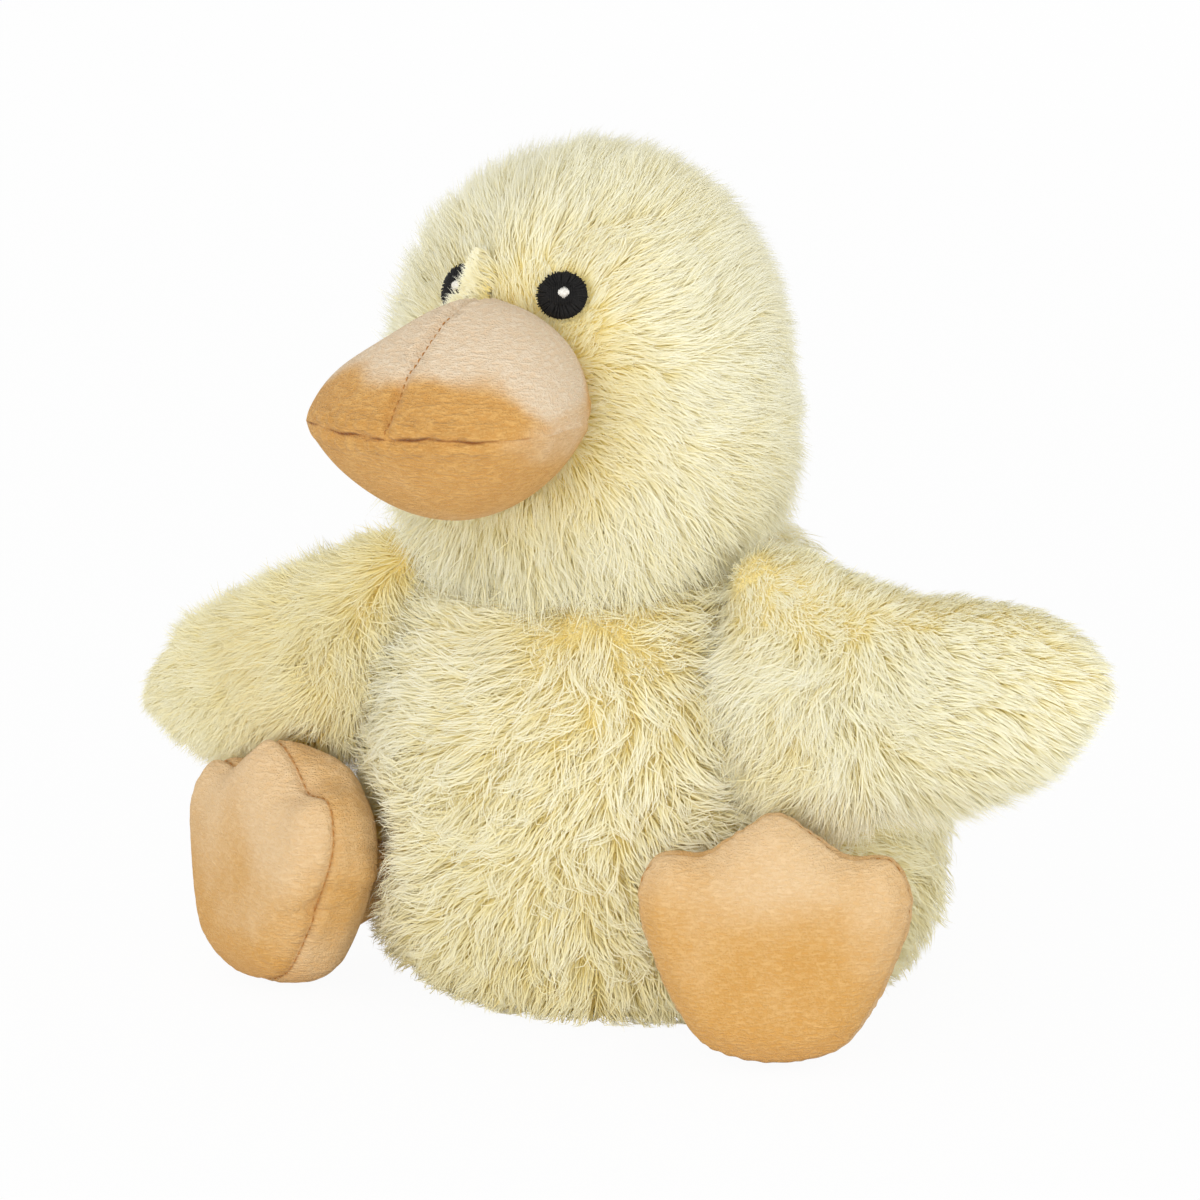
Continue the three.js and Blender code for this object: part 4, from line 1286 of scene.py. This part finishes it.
def coat_pieces(grown, part_of, body, cleared, kept=()):
    """Splits a grown coat, and layers kept whole, into named pieces by where each root lies."""
    parts = {}
    for row, (steps, paths, normal, shade, width) in enumerate([*grown, *kept]):
        paths[..., 2] = np.maximum(paths[..., 2], 0.5)
        free = ~cleared(paths) if row < len(grown) else np.ones(len(paths), dtype=bool)
        for name, (chosen, replaced) in part_of(paths[:, 0]).items():
            rows = chosen & free
            layer = (steps, paths[rows], normal[rows], shade[rows], width[rows])
            parts.setdefault(name, (replaced, []))[1].append(layer)
    for name, (replaced, layers) in parts.items():
        settle(strand_mesh(name, layers), body, PILE, replaced)


# Body pile
def body_parts(root):
    front = root[:, 1] < SIDE_SEAM_Y
    left = root[:, 0] > 0
    azimuth = azimuth_of(root)
    return {
        "body_pile_front_left": (front & (azimuth > 40), ("body_front_panel",)),
        "body_pile_front_middle": (front & (azimuth > -8) & (azimuth <= 40), ("body_front_panel",)),
        "body_pile_front_right": (front & (azimuth <= -8), ("body_front_panel",)),
        "body_pile_back_left": (~front & left, ("body_back_left_panel",)),
        "body_pile_back_right": (~front & ~left, ("body_back_right_panel",)),
    }


def in_feet(paths):
    hit = np.zeros(len(paths), dtype=bool)
    for tree, low, high in foot_trees.values():
        hit |= blocked(paths, tree, low, high, 0.3)
    return hit


body_coat = Coat(
    body_comb, body_bare, body_length, body_painted_shade, 66, 68, lambda p: 0.6 + 0.4 * (p[:, 1] < 0),
    gaps=(8.0, 3.5), pulls=(0.45, (0.6, 0.95)),
    layers=((CURVED, 36000, 1.0, 0.34), (BENT, 24000, 0.9, 0.34), (STRAIGHT, 60000, 0.66, 0.36)),
)
coat_pieces(body_coat.grow(Cover(body_skin), 11), body_parts, "torso", in_feet)


# Head pile
def eye_fall(side_name, seed):
    """Strands from the bill's side of an eye that lean over it and leave a slanting gap."""
    rng = np.random.default_rng(seed)
    place, rows = EYES[side_name]
    count = 800
    turn = rng.uniform(math.radians(-105), math.radians(62), count)
    far = EYE_RADIUS * rng.uniform(0.95, 1.9, count)
    root = np.stack((far * np.cos(turn), far * np.sin(turn), rng.uniform(-2.5, -0.5, count)), axis=1)
    heading = np.stack((
        -rng.uniform(0.5, 1.0, count), rng.uniform(-0.2, 0.5, count), np.zeros(count),
    ), axis=1)
    normal = np.tile((0.0, 0.0, 1.0), (count, 1))
    stop = 0.2 + 0.45 * root[:, 1]
    length = np.clip((root[:, 0] - stop) * 1.15, 3.5, 11.0) * rng.uniform(0.7, 1.1, count)
    paths = swept(
        root, normal, along_skin(heading, normal), length, rng.uniform(0.5, 0.8, count),
        rng.uniform(0.7, 1.05, count), rng.normal(0, 0.25, count),
    )
    paths[..., 2] = np.maximum(paths[..., 2], np.where(CURVED > 0, 1.3, -9)[None])
    shade = rng.uniform(0.1, 0.3, count)
    return BENT, place + at_steps(paths, BENT) @ rows, normal @ rows, shade, rng.uniform(0.3, 0.4, count)


def head_parts(root):
    local = to_head(root)
    middle = np.abs(local[:, 0]) < GUSSET_HALF_WIDTH + 4
    parts = {"head_pile_crown": (middle, ("head_gusset",))}
    for name, side in SIDES.items():
        beside = ~middle & (local[:, 0] * side > 0)
        for half, chosen in (("front", local[:, 1] < -6), ("back", local[:, 1] >= -6)):
            parts[f"head_pile_{name}_{half}"] = (beside & chosen, (f"head_{name}_panel",))
    return parts


def head_tousle(points):
    return 0.5 + 0.45 * (1 - ease(to_head(points)[:, 2], -20, 30))


head_coat = Coat(
    head_comb, head_bare, head_length, head_painted_shade, 60, 48, head_tousle,
    gaps=(10.0, 3.8), pulls=(0.4, (0.25, 0.72)),
    layers=((BENT, 40000, 1.0, 0.33), (STRAIGHT, 70000, 0.78, 0.32)),
)
coat_pieces(
    head_coat.grow(Cover(head_skin), 23), head_parts, "head",
    lambda paths: clear_of_eyes(paths) | blocked(paths, bill_tree, *bill_box, 0.2),
    [eye_fall("right", 29)],
)

# Wing pile
for side_name, skin in wing_skins.items():
    hinge, reach, axis, tip_axis, across = WINGS[side_name]

    def wing_parts(root):
        middle = wing_centre((root - hinge) @ reach / WING_LENGTH, side_name)
        front = ((root - middle) @ across) * across[1] < 0
        return {
            f"{side_name}_wing_pile_front": (front, (f"{side_name}_wing_front_panel",)),
            f"{side_name}_wing_pile_back": (~front, (f"{side_name}_wing_back_panel",)),
        }

    unruly, calm = WING_TOUSLE[side_name]
    wing_coat = Coat(
        wing_comb_of(side_name), wing_bare, wing_length_of(side_name), wing_painted_shade_of(side_name), 58, 48,
        lambda p: calm + (1 - calm) * (1 - ease((p - hinge) @ reach / WING_LENGTH, *unruly)),
        gaps=(9.5, 3.6), pulls=(0.4, (0.25, 0.7)),
        layers=((BENT, 14500, 1.0, 0.33), (STRAIGHT, 26000, 0.78, 0.32)),
    )
    grown = wing_coat.grow(Cover(skin), WING_SEED[side_name])
    coat_pieces(grown, wing_parts, f"{side_name}_wing", in_feet)


# Stitched eyes: a padded patch with satin threads laid over it, and a small light patch
def laid_thread(points, width, normal):
    """Corners and faces of one closed thread through points, five-sided in section."""
    points = np.asarray(points)
    along = unit(np.gradient(points, axis=0))
    side = unit(np.cross(along, normal))
    over = np.cross(side, along)
    rows, faces = [], []
    turns = np.radians(np.arange(0, 360, 72))
    for k in range(len(points)):
        thin = 0.35 if k in (0, len(points) - 1) else 1.0
        for a in turns:
            rows.append(points[k] + 0.5 * width * thin * (math.cos(a) * side[k] + math.sin(a) * over[k]))
    n = len(turns)
    faces.append(tuple(reversed(range(n))))
    for k in range(len(points) - 1):
        for j in range(n):
            m = (j + 1) % n
            faces.append((k * n + j, k * n + m, k * n + n + m, k * n + n + j))
    faces.append(tuple(range((len(points) - 1) * n, len(points) * n)))
    return rows, faces


def threads(name, runs):
    """One piece of many laid threads; runs hold (points, width, normal)."""
    rows, faces = [], []
    for points, width, normal in runs:
        more, sides = laid_thread(points, width, normal)
        faces += [tuple(len(rows) + c for c in side) for side in sides]
        rows += more
    mesh = bpy.data.meshes.new(name)
    mesh.from_pydata([tuple(np.array(r) * MM) for r in rows], [], faces)
    mesh.update()
    piece = bpy.data.objects.new(name, mesh)
    scene.collection.objects.link(piece)
    only(piece)
    outward(piece)
    bpy.ops.object.shade_smooth()
    return piece


def eye_place(side_name, x, y, z):
    place, rows = EYES[side_name]
    return place + np.array((x, y, z)) @ rows


def dome(far):
    """Height of the stitches' rounded top at a distance from the eye's middle."""
    return EYE_PROUD + 0.5 - 1.3 * (far / EYE_RADIUS) ** 2.2


for side_name, seed in (("left", 61), ("right", 67)):
    rng = np.random.default_rng(seed)
    out = EYES[side_name][1][2]
    runs = []
    for turn in np.linspace(0, 2 * math.pi, 76, endpoint=False):
        far = EYE_RADIUS * (0.97 + 0.07 * rng.random())
        near = 2.6 + 1.2 * rng.random()
        bend = turn + rng.normal(0, 0.05)
        spots = np.linspace(near, far, 5)
        runs.append(([eye_place(
            side_name, r * math.cos(bend), 0.94 * r * math.sin(bend), dome(r) + 0.1 * rng.random(),
        ) for r in spots], 0.72, out))
    for x in np.arange(-3.8, 3.9, 0.5):
        half = math.sqrt(max(15.5 - x * x, 0.3))
        spots = np.linspace(-half, half, 5) + rng.normal(0, 0.15)
        line = [eye_place(side_name, x, y, dome(math.hypot(x, y)) + 0.12) for y in spots]
        runs.append((line, 0.62, out))
    piece = threads(f"{side_name}_eye_stitches", runs)
    settle(piece, "head", BLACK_THREAD)
    pad = moulded(f"{side_name}_eye_patch", 9, lambda w: np.array([eye_place(
        side_name, EYE_RADIUS * 0.97 * a, EYE_RADIUS * 0.92 * b, EYE_PROUD - 1.3 + 1.35 * c,
    ) for a, b, c in w]))[0]
    settle(pad, "head", BLACK_THREAD, (f"{side_name}_eye",))
    runs = []
    for x in np.arange(-1.3, 1.4, 0.37):
        half = math.sqrt(max(2.1 - x * x, 0.2)) * (0.9 + 0.2 * rng.random())
        spots = np.linspace(-half, half, 4)
        line = [eye_place(side_name, 0.8 + x, 0.4 + y, dome(1) + 0.62 - 0.1 * y * y) for y in spots]
        runs.append((line, 0.5, out))
    piece = threads(f"{side_name}_eye_light_stitches", runs)
    settle(piece, "head", WHITE_THREAD, (f"{side_name}_eye_highlight",))

# Stitches that show in the seams of the bill and the feet
settle(threads("crest_seam_stitches", crest_seam), "head", SEAM_THREAD)
settle(threads("mouth_seam_stitches", mouth_seam), "head", MOUTH_THREAD)
for side_name, runs in foot_seams.items():
    settle(threads(f"{side_name}_foot_seam_stitches", runs), f"{side_name}_foot", SEAM_THREAD)


# Inner pouch of grain, in the lower body
def pouch_form(way, inset):
    radius = BODY_RADIUS - 12.0 - inset
    angle = np.arcsin(np.clip(way[:, 2], -1, 1))
    share = np.where(angle < 0, 2 / BODY_DOWN_FULLNESS, 1.0)
    reach = np.where(angle < 0, BODY_DOWN_REACH - 12.0, 44.0) - inset
    flat = level_ways(way)
    points = flat * (radius * np.cos(angle) ** share)[:, None]
    points[:, 2] = np.maximum(BELLY_HEIGHT + reach * signed_power(np.sin(angle), share), 12.5)
    return points


pouch, way = moulded("grain_pouch", 23, lambda w: pouch_form(w, POUCH_INSET))
stuff(pouch, np.abs(way[:, 1]) < 1e-4, POUCH_SWELL)
settle(
    pouch, "torso", COTTON,
    ("pouch_front_cloth", "pouch_back_cloth", "grain_filling"),
)


# Floor, light and the white behind
def seen_directly(wire):
    """1 for camera, glossy and transmitted rays, 0 for the rest."""
    rays = [wire.node("ShaderNodeLightPath", out=k) for k in (0, 3, 6)]
    return wire.sum("MAXIMUM", wire.sum("MAXIMUM", rays[0], rays[1]), rays[2])


bpy.ops.object.select_all(action="DESELECT")
bpy.ops.mesh.primitive_plane_add(size=14, location=(0, 0, 0))
floor = bpy.context.object
floor.name = "floor"
material, wire, end = blank("studio_floor")
seen = seen_directly(wire)
paper = wire.node("ShaderNodeBsdfDiffuse", sockets={"Color": (0.9, 0.9, 0.9, 1)})
glow = wire.node("ShaderNodeEmission", sockets={"Color": (1, 1, 1, 1), "Strength": 1.0})
mixed = wire.node("ShaderNodeMixShader", sockets={"Fac": seen * 0.95, 1: paper, 2: glow})
wire.tree.links.new(mixed.socket, end.inputs["Surface"])
floor.data.materials.append(material)

world = bpy.data.worlds.new("studio")
scene.world = world
world.use_nodes = True
world.node_tree.nodes.clear()
wire = Wire(world.node_tree)
seen = seen_directly(wire)
aloft = wire.node("ShaderNodeTexCoord", out=0)
aloft = wire.node("ShaderNodeSeparateXYZ", sockets={"Vector": aloft}, out=2)
fill = wire.node("ShaderNodeBackground", sockets={
    "Color": (1, 1, 1, 1), "Strength": 1.0 - clamped(wire, aloft, 0.0, 1.0) * 0.4,
})
white = wire.node("ShaderNodeBackground", sockets={"Color": (1, 1, 1, 1), "Strength": 1.0})
mixed = wire.node("ShaderNodeMixShader", sockets={"Fac": seen, 1: fill, 2: white})
end = world.node_tree.nodes.new("ShaderNodeOutputWorld")
wire.tree.links.new(mixed.socket, end.inputs["Surface"])


def softbox(name, place, aim, size, power):
    lamp = bpy.data.objects.new(name, bpy.data.lights.new(name, "AREA"))
    scene.collection.objects.link(lamp)
    lamp.data.size, lamp.data.energy = size, power
    lamp.location = place
    lamp.rotation_euler = aimed(place, aim)


softbox("right_softbox", (1.9, -0.2, 0.45), (0, 0, 0.09), size=0.8, power=3)
softbox("front_softbox", (0.75, -2.1, 0.5), (0, 0, 0.1), size=1.6, power=28)
softbox("back_softbox", (-1.0, 2.2, 1.1), (0, 0, 0.1), size=1.2, power=5)
